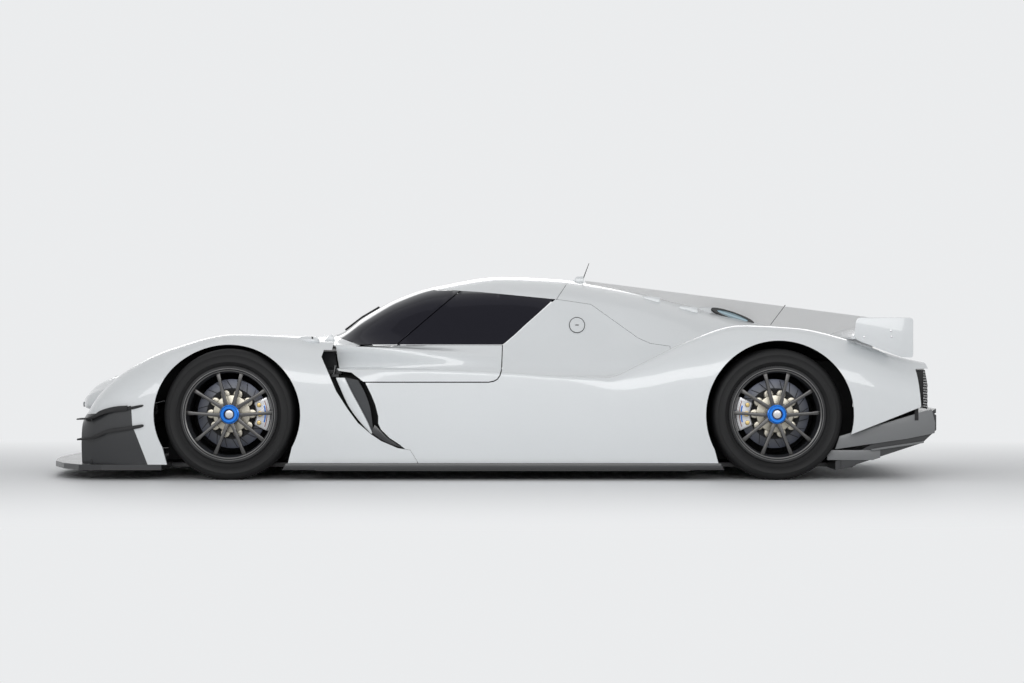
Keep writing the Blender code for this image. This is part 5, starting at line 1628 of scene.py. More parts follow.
@dataclass
class Wheel:
    """One road wheel: tyre, V-spoked rim, centre nut, brake disc and caliper."""

    end: End
    side: Side
    spokes: int = 5
    splay: float = 20.0
    rim_radius: float = 0.262
    well: float = 0.246
    spoke_y: float = 0.105
    spoke_widths: Outline = ((0.0, 0.0115), (0.25, 0.0095), (0.7, 0.0085), (1.0, 0.0125))
    web_edge: Outline = (
        (-0.46, 0.045), (-0.30, 0.078), (-0.14, 0.070), (0.0, 0.066), (0.14, 0.070), (0.30, 0.078),
        (0.46, 0.045),
    )
    disc_radius: float = 0.189
    bell_radius: float = 0.104
    bobbins: int = 10
    slots: int = 20
    slot_lean: float = 0.16

    @property
    def hub(self) -> Vector:
        """The wheel's middle."""
        return Vector((self.end.value, self.side.value * TRACK_HALF, TYRE_RADIUS))

    @property
    def body(self) -> str:
        """The body that the wheel turns with."""
        return f"wheel_{str(self.end)[0]}{str(self.side)[0]}"

    @property
    def tag(self) -> str:
        """Ending of the wheel's piece names."""
        return f"{self.end}_{self.side}"

    @property
    def toward(self) -> int:
        """The way from the hub to the caliper, as the sign of X."""
        return 1 if self.end is End.FRONT else -1

    def tyre(self) -> None:
        """Slick tyre with rounded shoulders and two fine rings on each sidewall."""
        half = TYRE_WIDTH / 2
        outer = [
            (0.0, 0.3550), (0.070, 0.3548), (0.110, 0.3536), (0.130, 0.3505), (0.1425, 0.344), (0.1495, 0.334)
        ]
        outer += [(0.1530, 0.3235), (0.1536, 0.3205), (0.1548, 0.3190), (0.1536, 0.3175), (0.1545, 0.300)]
        outer += [(0.1538, 0.2860), (0.1550, 0.2845), (0.1550, 0.2825), (0.1530, 0.2810), (0.1470, 0.2700)]
        outer += [(half - 0.013, self.rim_radius + 0.001), (half - 0.013, self.well + 0.001)]
        profile = [(y, r) for y, r in outer] + [(-y, r) for y, r in reversed(outer[1:])]
        body = turned(f"tyre_rubber_{self.tag}", profile, self.hub, 128)
        finish = TyreRubber(f"tyre_rubber_{self.tag}", tuple(self.hub))
        dressed(body, finish, f"tyre_{self.tag}", body=self.body, slot="rubber", smooth=50.0)

    def barrel(self) -> None:
        """Stepped barrel with rolled lips."""
        half = TYRE_WIDTH / 2
        face = self.side.value
        inner = self.well - 0.010
        profile = [(-half, inner + 0.004), (-half, self.rim_radius - 0.004), (-half + 0.003, self.rim_radius)]
        profile += [
            (-half + 0.010, self.rim_radius), (-half + 0.012, self.rim_radius - 0.003),
            (-half + 0.013, self.well)
        ]
        profile += [
            (half - 0.013, self.well), (half - 0.012, self.rim_radius - 0.003),
            (half - 0.010, self.rim_radius)
        ]
        profile += [(half - 0.003, self.rim_radius), (half, self.rim_radius - 0.004), (half, inner + 0.008)]
        profile += [
            (half - 0.006, inner + 0.002), (half - 0.030, inner), (half - 0.060, inner - 0.012),
            (-half + 0.030, inner - 0.012)
        ]
        body = turned(f"barrel_{self.tag}", [(face * y, r) for y, r in profile], self.hub, 96)
        ledge = [
            (half - 0.0295, inner + 0.0004), (half - 0.008, inner + 0.0012), (half - 0.0050, inner + 0.0055)
        ]
        ledge += [
            (half + 0.0012, inner + 0.0090), (half + 0.0012, inner + 0.0125), (half - 0.0030, inner + 0.0070)
        ]
        ledge += [(half - 0.0080, inner - 0.0030), (half - 0.0295, inner - 0.0045)]
        step = turned(f"rim_step_{self.tag}", [(face * y, r) for y, r in ledge], self.hub, 96)
        dressed(step, Finish.LIP, body=self.body)
        dressed(body, Finish.DARK_RIM, f"rim_{self.tag}", body=self.body, slot="rim_metal")

    def spoke_pair(self, turn: float) -> list[Piece]:
        """The two spokes of one V and the web between their feet.

        Args:
            turn: the V's middle, as an angle round the axle.

        Returns:
            Three solids.
        """
        made = []
        for splay in (-1, 1):
            near = polar(turn + splay * 0.20, 0.046)
            far = polar(turn + splay * math.radians(self.splay), self.well - 0.006)
            across = (far - near).normalized().orthogonal()
            line = [(near.lerp(far, share), across * width) for share, width in self.spoke_widths]
            ring = [point - half for point, half in line] + [point + half for point, half in reversed(line)]
            body = prism(
                "spoke", [tuple(p) for p in ring], *self.side.span(self.spoke_y - 0.016, self.spoke_y + 0.014)
            )
            body.data.transform(Matrix.Translation(self.hub))
            made.append(eased(body, 0.0030, 2, 30.0))
        edge = [tuple(polar(turn + a, r)) for a, r in self.web_edge]
        web = prism("web", edge, *self.side.span(self.spoke_y - 0.012, self.spoke_y + 0.009))
        web.data.transform(Matrix.Translation(self.hub))
        made.append(eased(web, 0.003, 2, 30.0))
        return made

    def star(self) -> None:
        """All spokes with the hub's drum."""
        parts = []
        for pair in range(self.spokes):
            parts += self.spoke_pair(math.pi / 2 + (pair + 0.5) * math.tau / self.spokes)
        drum = disc(f"spokes_{self.tag}", self.hub, 0.058, *self.side.span(0.02, self.spoke_y + 0.012), 0.004)
        merged(drum, *parts)
        dressed(drum, Finish.GUNMETAL, body=self.body, slot="rim_metal")

    def nut(self) -> None:
        """Blue stepped centre nut and the silver pin in it."""
        front = self.spoke_y + 0.014
        profile = [
            (front - 0.004, 0.028), (front + 0.026, 0.028), (front + 0.030, 0.031), (front + 0.030, 0.043),
            (front + 0.027, 0.046), (front + 0.010, 0.047), (front + 0.008, 0.051), (front - 0.004, 0.052),
        ]
        ring = turned(f"centre_nut_{self.tag}", [(self.side.value * y, r) for y, r in profile], self.hub, 72)
        dressed(ring, Finish.BLUE, body=self.body)
        pin = disc(
            f"hub_pin_{self.tag}", self.hub, 0.0225, *self.side.span(front - 0.004, front + 0.020), 0.002, 36
        )
        dressed(pin, Finish.SILVER, body=self.body)

    def brake(self) -> None:
        """Brake disc, and its bell with lobes and bobbins round it."""
        plate = disc(
            f"disc_{self.tag}", self.hub, self.disc_radius, *self.side.span(-0.025, 0.005), 0.0015, 96
        )
        dressed(plate, TurnedDisc(f"turned_disc_{self.tag}", tuple(self.hub)), body=self.body)
        bell = disc(f"bell_{self.tag}", self.hub, self.bell_radius, *self.side.span(0.004, 0.034), 0.006, 72)
        pins = disc(f"bell_pins_{self.tag}", self.hub, 0.050, *self.side.span(0.030, 0.060), 0.004)
        for n in range(self.bobbins):
            turn = math.tau * n / self.bobbins
            away = Vector((math.cos(turn), 0.0, math.sin(turn)))
            lobe = self.hub + away * (self.bell_radius + 0.006)
            bobbin = self.hub + away * (self.bell_radius + 0.016)
            merged(bell, disc("lobe", lobe, 0.027, *self.side.span(0.004, 0.032), 0.006, 24))
            merged(pins, disc("bobbin", bobbin, 0.0065, *self.side.span(0.030, 0.036), 0.001, 12))
        dressed(bell, Finish.BELL, body=self.body)
        dressed(pins, Finish.CAST, body=self.body)

    def grooves(self) -> None:
        """Slanted slots milled into the disc's face, round an inner ring, both near-black as painted shade of
        the grooves and of the gaps under the bell.
        """
        reach = self.side.span(0.0035, 0.0052)
        # Painted shade: the slots and the inner ring are near-black strips laid on the disc's face, not cut
        # into it.
        body = disc(f"disc_slots_{self.tag}", self.hub, 0.1388, *reach, 0.0, 72)
        for n in range(self.slots):
            turn = math.tau * n / self.slots
            near, far = polar(turn, 0.137), polar(turn + self.slot_lean, self.disc_radius - 0.005)
            across = (far - near).normalized().orthogonal() * 0.0022
            corners = (near - across, far - across, far + across, near + across)
            line = prism("slot", [tuple(p) for p in corners], *reach)
            line.data.transform(Matrix.Translation(self.hub))
            merged(body, line)
        dressed(body, Finish.LINING, body=self.body)

    def arc(self, near: float, far: float, span: float, steps: int = 12) -> list[Pair]:
        """Outline of part of a ring on the caliper's side of the hub.

        Args:
            near: its inner radius.
            far: its outer radius.
            span: how far it reaches round the hub, in radians.
            steps: faces along it.

        Returns:
            (x, z) points from the hub.
        """
        turns = [span * (i / steps - 0.5) for i in range(steps + 1)]
        ring = [(self.toward * far * math.cos(a), far * math.sin(a)) for a in turns]
        return ring + [(self.toward * near * math.cos(a), near * math.sin(a)) for a in reversed(turns)]

    def layer(self, name: str, outline: Outline, near_y: float, far_y: float, edge: float) -> Piece:
        """One layer of the caliper.

        Args:
            name: start of its name.
            outline: (x, z) points from the hub.
            near_y: its inner face's distance out from the hub.
            far_y: its outer face's.
            edge: width of the rounding.

        Returns:
            A closed solid.
        """
        body = prism(f"{name}_{self.tag}", outline, *self.side.span(near_y, far_y))
        body.data.transform(Matrix.Translation(self.hub))
        return eased(body, edge, 3, 30.0)

    def caliper(self) -> None:
        """Brake caliper's face with its band, pipe and pistons' caps, on the upright's own casting."""
        carrier = f"upright_f{str(self.side)[0]}" if self.end is End.FRONT else "chassis"
        layers = (
            ("caliper_face", self.arc(0.137, 0.214, 0.92), 0.030, 0.043, 0.004, Finish.SILVER),
            ("caliper_band", self.arc(0.181, 0.188, 0.50), 0.0425, 0.046, 0.001, Finish.BLUE),
            ("caliper_pipe", self.arc(0.1925, 0.1960, 0.74), 0.042, 0.047, 0.001, Finish.RED_PIPE),
        )
        for *shape, finish in layers:
            dressed(self.layer(*shape), finish, body=carrier)
        middle = self.hub + Vector((self.toward * 0.156, 0, 0))
        caps = disc(f"caliper_caps_{self.tag}", middle, 0.0155, *self.side.span(0.040, 0.052), 0.003, 24)
        for turn in (-0.31, 0.31):
            place = self.hub + Vector((self.toward * math.cos(turn), 0, math.sin(turn))) * 0.158
            merged(caps, disc("cap", place, 0.0125, *self.side.span(0.040, 0.050), 0.003, 24))
        dressed(caps, Finish.GOLD, body=carrier)

    def build(self) -> None:
        """The whole wheel."""
        self.tyre()
        self.barrel()
        self.star()
        self.nut()
        self.brake()
        self.grooves()
        self.caliper()


@dataclass
class SkinDetails:
    """Small parts that lie on the painted surface."""

    shell: BodyShell
    blister_at: Pair = (-0.968, 0.762)
    outlet_at: Pair = (1.425, 0.076)
    outlet_half: Pair = (0.130, 0.034)
    cap_at: Pair = (0.5125, 0.840)
    cap_radius: float = 0.0446
    fairings_at: Outline = ((0.948, 0.052), (1.160, 0.057))
    stem: Outline = ((-0.914, 0.742), (-0.864, 0.788), (-0.858, 0.788), (-0.838, 0.742))
    joint: Outline = ((1.737, 0.960), (1.741, 0.960), (1.655, 0.846), (1.651, 0.846))

    def blisters(self, side: Side) -> None:
        """Camera blister on one fender, with its dark window.

        Args:
            side: the car's side.
        """
        x, y = self.blister_at
        place = (x, side.value * y, self.shell.front.height(x, y) - 0.004)
        body = bump(f"camera_blister_{side}", place, (0.066, 0.040, 0.024), 40)
        dressed(body, Finish.PAINT, smooth=60.0)
        out = side.span(y + 0.014, y + 0.034)
        window = brick(
            f"camera_window_{side}", (x + 0.024, out[0], place[2] + 0.004),
            (x + 0.032, out[1], place[2] + 0.021), 0.002
        )
        dressed(window, Finish.GLOSS_BLACK)

    def outlet(self, side: Side) -> None:
        """Oval outlet on one side of the engine cover's ridge, with a pale pane in a black frame.

        Args:
            side: the car's side.
        """
        x, y = self.outlet_at
        centre = Vector((x, side.value * y, self.shell.rear.height(x, y) + 0.010))
        along = Vector((1.0, 0.0, -0.34)).normalized()
        across = Vector((0.25, side.value * 0.70, 0.76)).cross(along).normalized()
        outwards = along.cross(across).normalized()
        place = Matrix.Translation(centre) @ Matrix((along, across, outwards)).transposed().to_4x4()
        housing = bump(f"outlet_housing_{side}", (0, 0, -0.036), (0.200, 0.060, 0.034), 48)
        frame = pad(f"outlet_frame_{side}", (0, 0), self.outlet_half, 0.010, 0.72)
        frame.data.transform(Matrix.Translation((0, 0, -0.006)))
        pane = pad(f"outlet_pane_{side}", (0, 0), [half * 0.74 for half in self.outlet_half], 0.008)
        pane.data.transform(Matrix.Translation((0, 0, -0.0075)))
        for piece, finish in ((housing, Finish.PAINT), (frame, Finish.GLOSS_BLACK), (pane, Finish.PALE_BLUE)):
            piece.data.transform(place)
            dressed(piece, finish)

    def fairings(self, side: Side) -> None:
        """Two slim fairings in a row beside the engine cover's ridge.

        Args:
            side: the car's side.
        """
        parts = []
        for x, half in self.fairings_at:
            low, high = (self.shell.rear.height(place, 0.165) - 0.005 for place in (x - half, x + half))
            outline = [
                (x - half, low), (x + half, high), (x + half - 0.002, high + 0.033),
                (x - half + 0.01, low + 0.012)
            ]
            parts.append(prism(f"fairing_{side}", outline, *side.span(0.147, 0.183)))
            for vert in parts[-1].data.vertices:
                if vert.co.x < x or vert.co.z > high + 0.02:
                    vert.co.y += 0.4 * (side.value * 0.165 - vert.co.y)
        dressed(eased(merged(*parts), 0.003, 3, 20.0), Finish.PAINT)

    def camera_stem(self, side: Side) -> None:
        """Small white wedge at the windscreen's foot."""
        body = prism(f"camera_stem_{side}", self.stem, *side.span(0.435, 0.465))
        dressed(eased(body, 0.002), Finish.PAINT)

    def fuel_cap(self, side: Side) -> None:
        """Round fuel coupling behind one door: a fine ring round a flush plug, with a dark strip across the
        plug as painted shade of its slot.

        Args:
            side: the car's side.
        """
        round_half = (self.cap_radius, self.cap_radius)
        plug_half = (self.cap_radius * 0.90, self.cap_radius * 0.90)
        layers = (
            ("cap_ring", round_half, 0.0030, 0.93, 48, 0.0002, Finish.TRIM),
            ("cap_plug", plug_half, 0.0040, 0.0, 48, -0.0010, Finish.PAINT),
            # Painted shade: the plug's slot is a dark strip standing on the plug, not a groove.
            ("cap_slot", (0.012, 0.0030), 0.0036, 0.0, 16, 0.0, Finish.TRIM),
        )
        for name, half, wall, hole, turns, out, finish in layers:
            piece = upright(pad(f"{name}_{side}", self.cap_at, half, wall, hole, turns))
            piece.data.transform(Matrix.Translation((0, out, 0)))
            dressed(self.shell.rear.hung(piece, side), finish)

    def fin_joint(self) -> None:
        """Fine panel joint across the fin."""
        half = self.shell.fin_thickness / 2 + 0.0003
        dressed(prism("fin_joint", self.joint, -half, half), Finish.TRIM, smooth=0.0)

    def antenna(self) -> None:
        """White swept foot with a black whip."""
        low, high = (self.shell.rear.height(x, 0.0) - 0.001 for x in (0.500, 0.568))
        foot = prism(
            "antenna_foot", [(0.500, low), (0.568, high), (0.566, high + 0.038), (0.528, high + 0.038)],
            -0.011, 0.011
        )
        for vert in foot.data.vertices:
            if vert.co.z > high + 0.01:
                vert.co.y *= 0.6
        dressed(eased(foot, 0.002), Finish.PAINT, "antenna", slot="trim")
        bm = bmesh.new()
        start, end = Vector((0.565, 0.0, high + 0.028)), Vector((0.598, 0.0, 1.203))
        along = end - start
        turn = along.to_track_quat("Z", "Y").to_matrix().to_4x4()
        place = Matrix.Translation((start + end) / 2) @ turn
        bmesh.ops.create_cone(
            bm, cap_ends=True, segments=12, radius1=0.0030, radius2=0.0016, depth=along.length, matrix=place
        )
        whip = held("antenna_whip", bm)
        dressed(whip, Finish.TRIM, "antenna")

    def build(self) -> None:
        """All small parts."""
        self.fin_joint()
        self.antenna()
        for side in Side:
            self.blisters(side)
            self.outlet(side)
            self.fairings(side)
            self.camera_stem(side)
            self.fuel_cap(side)


@dataclass
class Tail:
    """Rear wing with its endplates, meshes, light bar and the diffuser's side plates."""

    shell: BodyShell
    endplate_y: float = 0.930
    endplate_wall: float = 0.010
    screw_radius: float = 0.0062
    screws_at: Outline = ((2.05, 0.773), (2.195, 0.805), (2.197, 0.773))
    mesh_pitch: float = 0.020
    wire: float = 0.0032
    plate: Outline = (
        (1.919, 0.237), (2.417, 0.383), (2.436, 0.307), (2.433, 0.253), (2.287, 0.223), (1.895, 0.166)
    )
    wedge: Outline = ((2.087, 0.166), (2.374, 0.210), (2.374, 0.200), (2.10, 0.158))
    foot: Outline = ((1.854, 0.161), (2.141, 0.161), (2.141, 0.120), (2.10, 0.107), (1.854, 0.107))

    def wing(self) -> None:
        """The wing's plane, whose profile runs straight across."""
        body = prism("wing_plane", self.shell.wing_profile(), -self.endplate_y, self.endplate_y)
        dressed(body, Finish.PAINT, "rear_wing", slot="white_paint")

    def endplates(self) -> None:
        """Both endplates, with three screws in each."""
        outline = smoothed([(1.998, 0.785), (2.004, 0.840), (2.012, 0.866), (2.026, 0.877)], 3)
        outline += [(2.296, 0.877), *smoothed([(2.303, 0.875), (2.312, 0.868), (2.315, 0.858)], 3)]
        outline += [(2.315, 0.680), *smoothed([(2.314, 0.672), (2.308, 0.664), (2.296, 0.662)], 3)]
        outline += [(2.25, 0.664), (2.03, 0.748), (2.008, 0.760)]
        for side in Side:
            reach = (self.endplate_y, self.endplate_y + self.endplate_wall)
            plate = prism(f"endplate_{side}", outline, *side.span(*reach))
            dressed(eased(plate, 0.002), Finish.PAINT, "rear_wing")
            depth = side.span(reach[1] - 0.002, reach[1] + 0.0015)
            heads = []
            for x, z in self.screws_at:
                heads.append(disc(f"screws_{side}", Vector((x, 0, z)), self.screw_radius, *depth, 0.0008, 20))
            dressed(merged(*heads), Finish.SILVER)

    def lattice(
        self, name: str, x: float, skin: Skin, low_z: float, inset: float, half: float, high_z: float
    ) -> Piece:
        """Open mesh of crossed wires that fills the body's section at one station.

        Args:
            name: the object's name.
            x: the station.
            skin: the surface whose section it fills.
            low_z: its lowest height.
            inset: how far it stays inside the surface.
            half: its half width at most.
            high_z: its greatest height.

        Returns:
            The mesh, as a closed solid of thin bars.
        """
        bm = bmesh.new()
        count = math.ceil(2.6 * half / self.mesh_pitch)
        slant = Matrix.Rotation(math.pi / 2, 4, "Y") @ Matrix.Rotation(math.pi / 4, 4, "Z")
        place = Matrix.Translation((x, 0, (low_z + high_z) / 2)) @ slant
        size = count * self.mesh_pitch / 2
        bmesh.ops.create_grid(bm, x_segments=count, y_segments=count, size=size, matrix=place)
        outside = []
        for face in bm.faces:
            middle = face.calc_center_median()
            inside = low_z < middle.z < high_z and abs(middle.y) < half
            inside = inside and middle.z <= skin.height(x, middle.y) - inset
            inside = inside and abs(middle.y) <= skin.reach(x, middle.z) - inset
            if not inside:
                outside.append(face)
        bmesh.ops.delete(bm, geom=outside, context="FACES")
        obj = held(name, bm)
        step = obj.modifiers.new("wires", "WIREFRAME")
        step.thickness = self.wire
        step.use_even_offset = True
        return settled(obj)

    def grilles(self) -> None:
        """Mesh across the tail and across the mouth under the nose."""
        rear = self.lattice("tail_mesh", 2.392, self.shell.rear, 0.392, 0.022, 0.93, 0.60)
        front = self.lattice("mouth_mesh", -2.154, self.shell.front, 0.095, 0.030, 0.86, 0.345)
        for mesh in (rear, front):
            dressed(mesh, Finish.LINING)

    def lamps(self) -> None:
        """Slim light bar behind the mesh, in a black housing."""
        bar = brick("tail_light", (2.381, -0.84, 0.500), (2.3875, 0.84, 0.516), 0.002)
        dressed(bar, Finish.RED_LENS, "tail_lamps", slot="red_lens")
        housing = brick("tail_housing", (2.3456, -0.868, 0.398), (2.383, 0.868, 0.588), 0.003)
        dressed(housing, Finish.LINING, "tail_lamps")

    def side_plates(self, side: Side) -> None:
        """Grey plates on one outer edge of the diffuser.

        Args:
            side: the car's side.
        """
        shapes = ((self.plate, 0.916, 0.926), (self.wedge, 0.906, 0.930), (self.foot, 0.904, 0.914))
        name = f"diffuser_plates_{side}"
        body = merged(*(prism(name, outline, *side.span(near, far)) for outline, near, far in shapes))
        dressed(eased(body, 0.0015), Finish.GREY_CARBON)

    def build(self) -> None:
        """The whole tail."""
        self.wing()
        self.endplates()
        self.grilles()
        self.lamps()
        for side in Side:
            self.side_plates(side)


@dataclass
class Headlamps:
    """Clear cover and the lights behind it, one set in each front fender."""

    shell: BodyShell
    wall: float = 0.004
    lights_x: float = -2.074
    lights_y: Pair = (0.702, 0.755)
    toe: float = 12.0
    ring: Outline = ((-0.030, 0.017), (-0.030, 0.022), (0.004, 0.0235), (0.004, 0.0210), (-0.002, 0.0185))
    shelf: Outline = ((-2.150, 0.300), (-2.10, 0.345), (-2.02, 0.385), (-2.02, 0.30))

    def cover(self, side: Side) -> None:
        """Clear cover, flush with the paint.

        Args:
            side: the car's side.
        """
        body = self.shell.front.sheet(
            f"lamp_cover_{side}", stations(-2.175, -2.00, 0.02), self.wall, (Finish.LENS,)
        )
        cut(body, brick("lamp_cut", *self.shell.lamp_block(side, 0.0)), Keep.SHARED)
        dressed(body, Finish.LENS, f"headlamp_{side}", slot="lamp")

    def lights(self, side: Side) -> None:
        """Two round lights in silver rings on a black step.

        Args:
            side: the car's side.
        """
        glass, rings = [], []
        turn = Matrix.Rotation(math.radians(90 + self.toe), 4, "Z")
        for y in self.lights_y:
            place = Vector((self.lights_x, side.value * y, self.shell.front.height(self.lights_x, y) - 0.052))
            ring = turned(f"lamp_rings_{side}", self.ring, Vector(), 36)
            ring.data.transform(Matrix.Translation(place) @ turn)
            rings.append(ring)
            middle = place - Vector((0.004, 0, 0))
            glass.append(bump(f"lamp_lights_{side}", middle, (0.010, 0.0172, 0.0172), 24))
        dressed(merged(*rings), Finish.SILVER)
        dressed(merged(*glass), Finish.LAMP_CORE, smooth=60.0)
        shelf = prism(f"lamp_shelf_{side}", self.shelf, *side.span(0.662, 0.800))
        dressed(eased(shelf, 0.004), Finish.GLOSS_BLACK)

    def build(self) -> None:
        """Both sets."""
        for side in Side:
            self.cover(side)
            self.lights(side)


@dataclass
class Seat:
    """Racing bucket: hard shell with separate padded parts in dark cloth."""

    side: Side
    middle_y: float = 0.270
    pad_edge: float = 0.011
    half: float = 0.210
    wall: float = 0.016
    pitch: float = -70.0
    roll: float = 24.0
    base_lines: tuple[float, ...] = (-0.30, -0.10, 0.10, 0.30)
    back_lines: tuple[float, ...] = (-0.34, -0.17, 0.0, 0.17, 0.34)

    def cushion(
        self, name: str, size: Sequence[float], crown: float, lines: Sequence[float], place: Matrix
    ) -> Piece:
        """One crowned pad with sewn channels across it.

        Args:
            name: the object's name.
            size: length, width and thickness.
            crown: how far its middle stands above its edges.
            lines: where channels cross it, as shares of its length from -0.5 to 0.5.
            place: its frame, with Z out of the seat.

        Returns:
            A closed pad.
        """
        bm = bmesh.new()
        bmesh.ops.create_cube(bm, size=1.0)
        bmesh.ops.subdivide_edges(bm, edges=bm.edges[:], cuts=17, use_grid_fill=True)
        for vert in bm.verts:
            u, v, w = vert.co
            pull = 1.0 - 0.05 * (1.0 - (2 * abs(v)) ** 2)
            waist = 1.0 - 0.05 * (1.0 - (2 * abs(u)) ** 2)
            swell = (1.0 - (2 * u) ** 4) * (1.0 - (2 * v) ** 4)
            groove = sum(math.exp(-(((u - line) * size[0]) / 0.0065) ** 2) for line in lines)
            rise = w * size[2] + max(0.0, w) * 2 * (crown * swell - 0.007 * groove * (1.0 - (2 * v) ** 6))
            vert.co = (u * size[0] * pull, v * size[1] * waist, rise)
        bevelled(bm, [e for e in bm.edges if e.calc_face_angle(0.0) > 0.9], self.pad_edge)
        bmesh.ops.smooth_vert(
            bm, verts=bm.verts, factor=0.4, use_axis_x=True, use_axis_y=True, use_axis_z=True
        )
        bmesh.ops.transform(bm, matrix=place, verts=bm.verts)
        return held(name, bm)

    def frame(self, x: float, z: float, pitch: float, y: float = 0.0, roll: float = 0.0) -> Matrix:
        """A pad's frame: its middle, its pitch from level and its roll, in degrees."""
        shift = Matrix.Translation((x, self.side.value * self.middle_y + y, z))
        lean = Matrix.Rotation(math.radians(-pitch), 4, "Y")
        return shift @ lean @ Matrix.Rotation(math.radians(roll), 4, "X")

    def shell(self) -> None:
        """Thin carbon bucket that carries the pads."""
        low, high = (self.side.value * self.middle_y + s * self.half for s in (-1, 1))
        back = smoothed([
            (-0.420, 0.245), (-0.36, 0.285), (-0.20, 0.270), (-0.05, 0.280), (0.02, 0.36), (0.10, 0.54),
            (0.22, 0.80), (0.29, 0.878)
        ])
        back += smoothed([
            (0.335, 0.880), (0.383, 0.850), (0.32, 0.62), (0.22, 0.30), (0.165, 0.085), (0.10, 0.0750)
        ])
        body = prism(f"seat_shell_{self.side}", back + [(-0.36, 0.0750), (-0.415, 0.10)], low, high)
        lap = [
            (-0.50, 0.33), (-0.40, 0.215), (-0.34, 0.190), (0.045, 0.112), (0.275, 0.76), (0.278, 0.95),
            (-0.1, 0.95), (-0.3, 0.5)
        ]
        cut(body, prism("lap", lap, low + self.wall, high - self.wall))
        dressed(eased(body, 0.005), Finish.CARBON, f"seat_{self.side}", slot="seat_fabric")

    def pads(self) -> None:
        """Base, back, head and side pads."""
        end = self.side
        pads = [
            (
                f"seat_base_{end}", (0.36, 0.265, 0.045), 0.020, self.base_lines,
                self.frame(-0.165, 0.178, -11.0)
            ),
            (
                f"seat_back_{end}", (0.46, 0.275, 0.045), 0.018, self.back_lines,
                self.frame(0.118, 0.410, self.pitch)
            ),
            (f"seat_head_{end}", (0.150, 0.250, 0.040), 0.014, (), self.frame(0.247, 0.745, self.pitch)),
        ]
        for out in (-1, 1):
            tag = f"{end}_{'outer' if out == self.side.value else 'inner'}"
            aside, roll = out * 0.160, -out * self.roll
            thigh = self.frame(-0.165, 0.222, -9.0, aside, roll)
            rib = self.frame(0.060, 0.400, self.pitch, aside, roll)
            pads.append((f"seat_thigh_{tag}", (0.34, 0.060, 0.050), 0.012, (0.0,), thigh))
            pads.append((f"seat_rib_{tag}", (0.30, 0.060, 0.060), 0.014, (0.0,), rib))
        parts = [self.cushion(*pad) for pad in pads]
        for part in parts:
            dressed(part, Finish.CLOTH, f"seat_{end}", smooth=60.0)

    def belts(self) -> None:
        """Two straps from the shoulders over the pads."""
        straps = []
        line = smoothed([(0.245, 0.70), (0.205, 0.625), (0.135, 0.47), (0.06, 0.30), (-0.02, 0.245)], 5)
        outline = [(x - 0.022, z + 0.015) for x, z in line]
        outline += [(x - 0.014, z + 0.012) for x, z in reversed(line)]
        for shift in (-0.055, 0.055):
            middle = self.side.value * self.middle_y + shift
            straps.append(prism(f"straps_{self.side}", outline, middle - 0.024, middle + 0.024))
        dressed(merged(*straps), Finish.STRAP)

    def build(self) -> None:
        """The whole seat."""
        self.shell()
        self.pads()
        self.belts()


@dataclass
class Controls:
    """Steering wheel and the display on the dash."""

    centre: Triple = (-0.480, -0.270, 0.570)
    column: Triple = (0.25, 0, 0.028)
    radius: float = 0.150
    grip: float = 0.014
    flat_y: float = -0.095
    knobs_at: Outline = ((-0.040, 0.025), (0.040, 0.025), (-0.040, -0.028), (0.040, -0.028), (0.0, -0.032))

    def wheel(self) -> None:
        """Flat-bottomed wheel with two broad spokes, a hub with knobs, and shift paddles."""
        turns = [math.tau * i / 12 for i in range(12)]
        grip = [(self.radius + self.grip * math.cos(a), 0, self.grip * math.sin(a)) for a in turns]
        bm = spun(grip, (0, 0, 1), 56)
        for vert in bm.verts:
            if vert.co.y < self.flat_y:
                vert.co.y = self.flat_y + (vert.co.y - self.flat_y) * 0.25
        lean = Vector(self.column).to_track_quat("Z", "Y").to_matrix().to_4x4()
        place = Matrix.Translation(self.centre) @ lean
        ring = held("steering_rim", bm)
        plate = brick("steering_plate", (-0.142, -0.040, -0.008), (0.142, 0.040, 0.008), 0.005)
        hub = brick("steering_hub", (-0.062, -0.050, -0.020), (0.062, 0.050, 0.014), 0.008)
        merged(plate, hub, brick("paddles", (-0.110, 0.010, -0.034), (0.110, 0.050, -0.029), 0.002))
        knobs = []
        for x, y in self.knobs_at:
            knob = disc("steering_knobs", Vector(), 0.0075, -0.022, -0.012, 0.001, 16)
            knob.data.transform(Matrix.Translation((x, y, 0.0)) @ Matrix.Rotation(math.pi / 2, 4, "X"))
            knobs.append(knob)
        for piece, finish in ((ring, Finish.TRIM), (plate, Finish.CARBON), (merged(*knobs), Finish.BLUE)):
            piece.data.transform(place)
            dressed(piece, finish, "steering_wheel")

    def display(self) -> None:
        """Small screen that stands on the dash behind the wheel."""
        body = brick("driver_display", (-0.652, -0.36, 0.600), (-0.638, -0.18, 0.672), 0.004)
        dressed(body, Finish.GLOSS_BLACK)

    def build(self) -> None:
        """The driver's controls."""
        self.wheel()
        self.display()


@dataclass
class CarriedNodes:
    """CAD pieces whose shapes stay, with their finishes and softened edges."""

    nodes: dict[str, Piece]
    finishes: dict[str, tuple[Finish, float]] = field(default_factory=lambda: {
        "tub": (Finish.CARBON, 0.0), "splitter": (Finish.CARBON, 0.004), "diffuser": (Finish.CARBON, 0.002),
        "wiper": (Finish.TRIM, 0.001), "engine": (Finish.CAST, 0.006),
        "front_suspension": (Finish.CAST, 0.002), "rear_suspension": (Finish.CAST, 0.002),
        "knuckle": (Finish.CAST, 0.003), "dash": (Finish.TRIM, 0.006),
        "nose_grille": (Finish.LINING, 0.0), "rear_grille": (Finish.LINING, 0.0),
    })

    def build(self) -> None:
        """Dresses every node that is still shown."""
        for name, obj in self.nodes.items():
            for stem, (finish, edge) in self.finishes.items():
                if name.startswith(stem):
                    obj.data.materials.clear()
                    obj.data.materials.append(material(finish))
                    if edge:
                        softened(obj, edge, 2, 50.0)
                    LOG.info("%s keeps its solid", name)


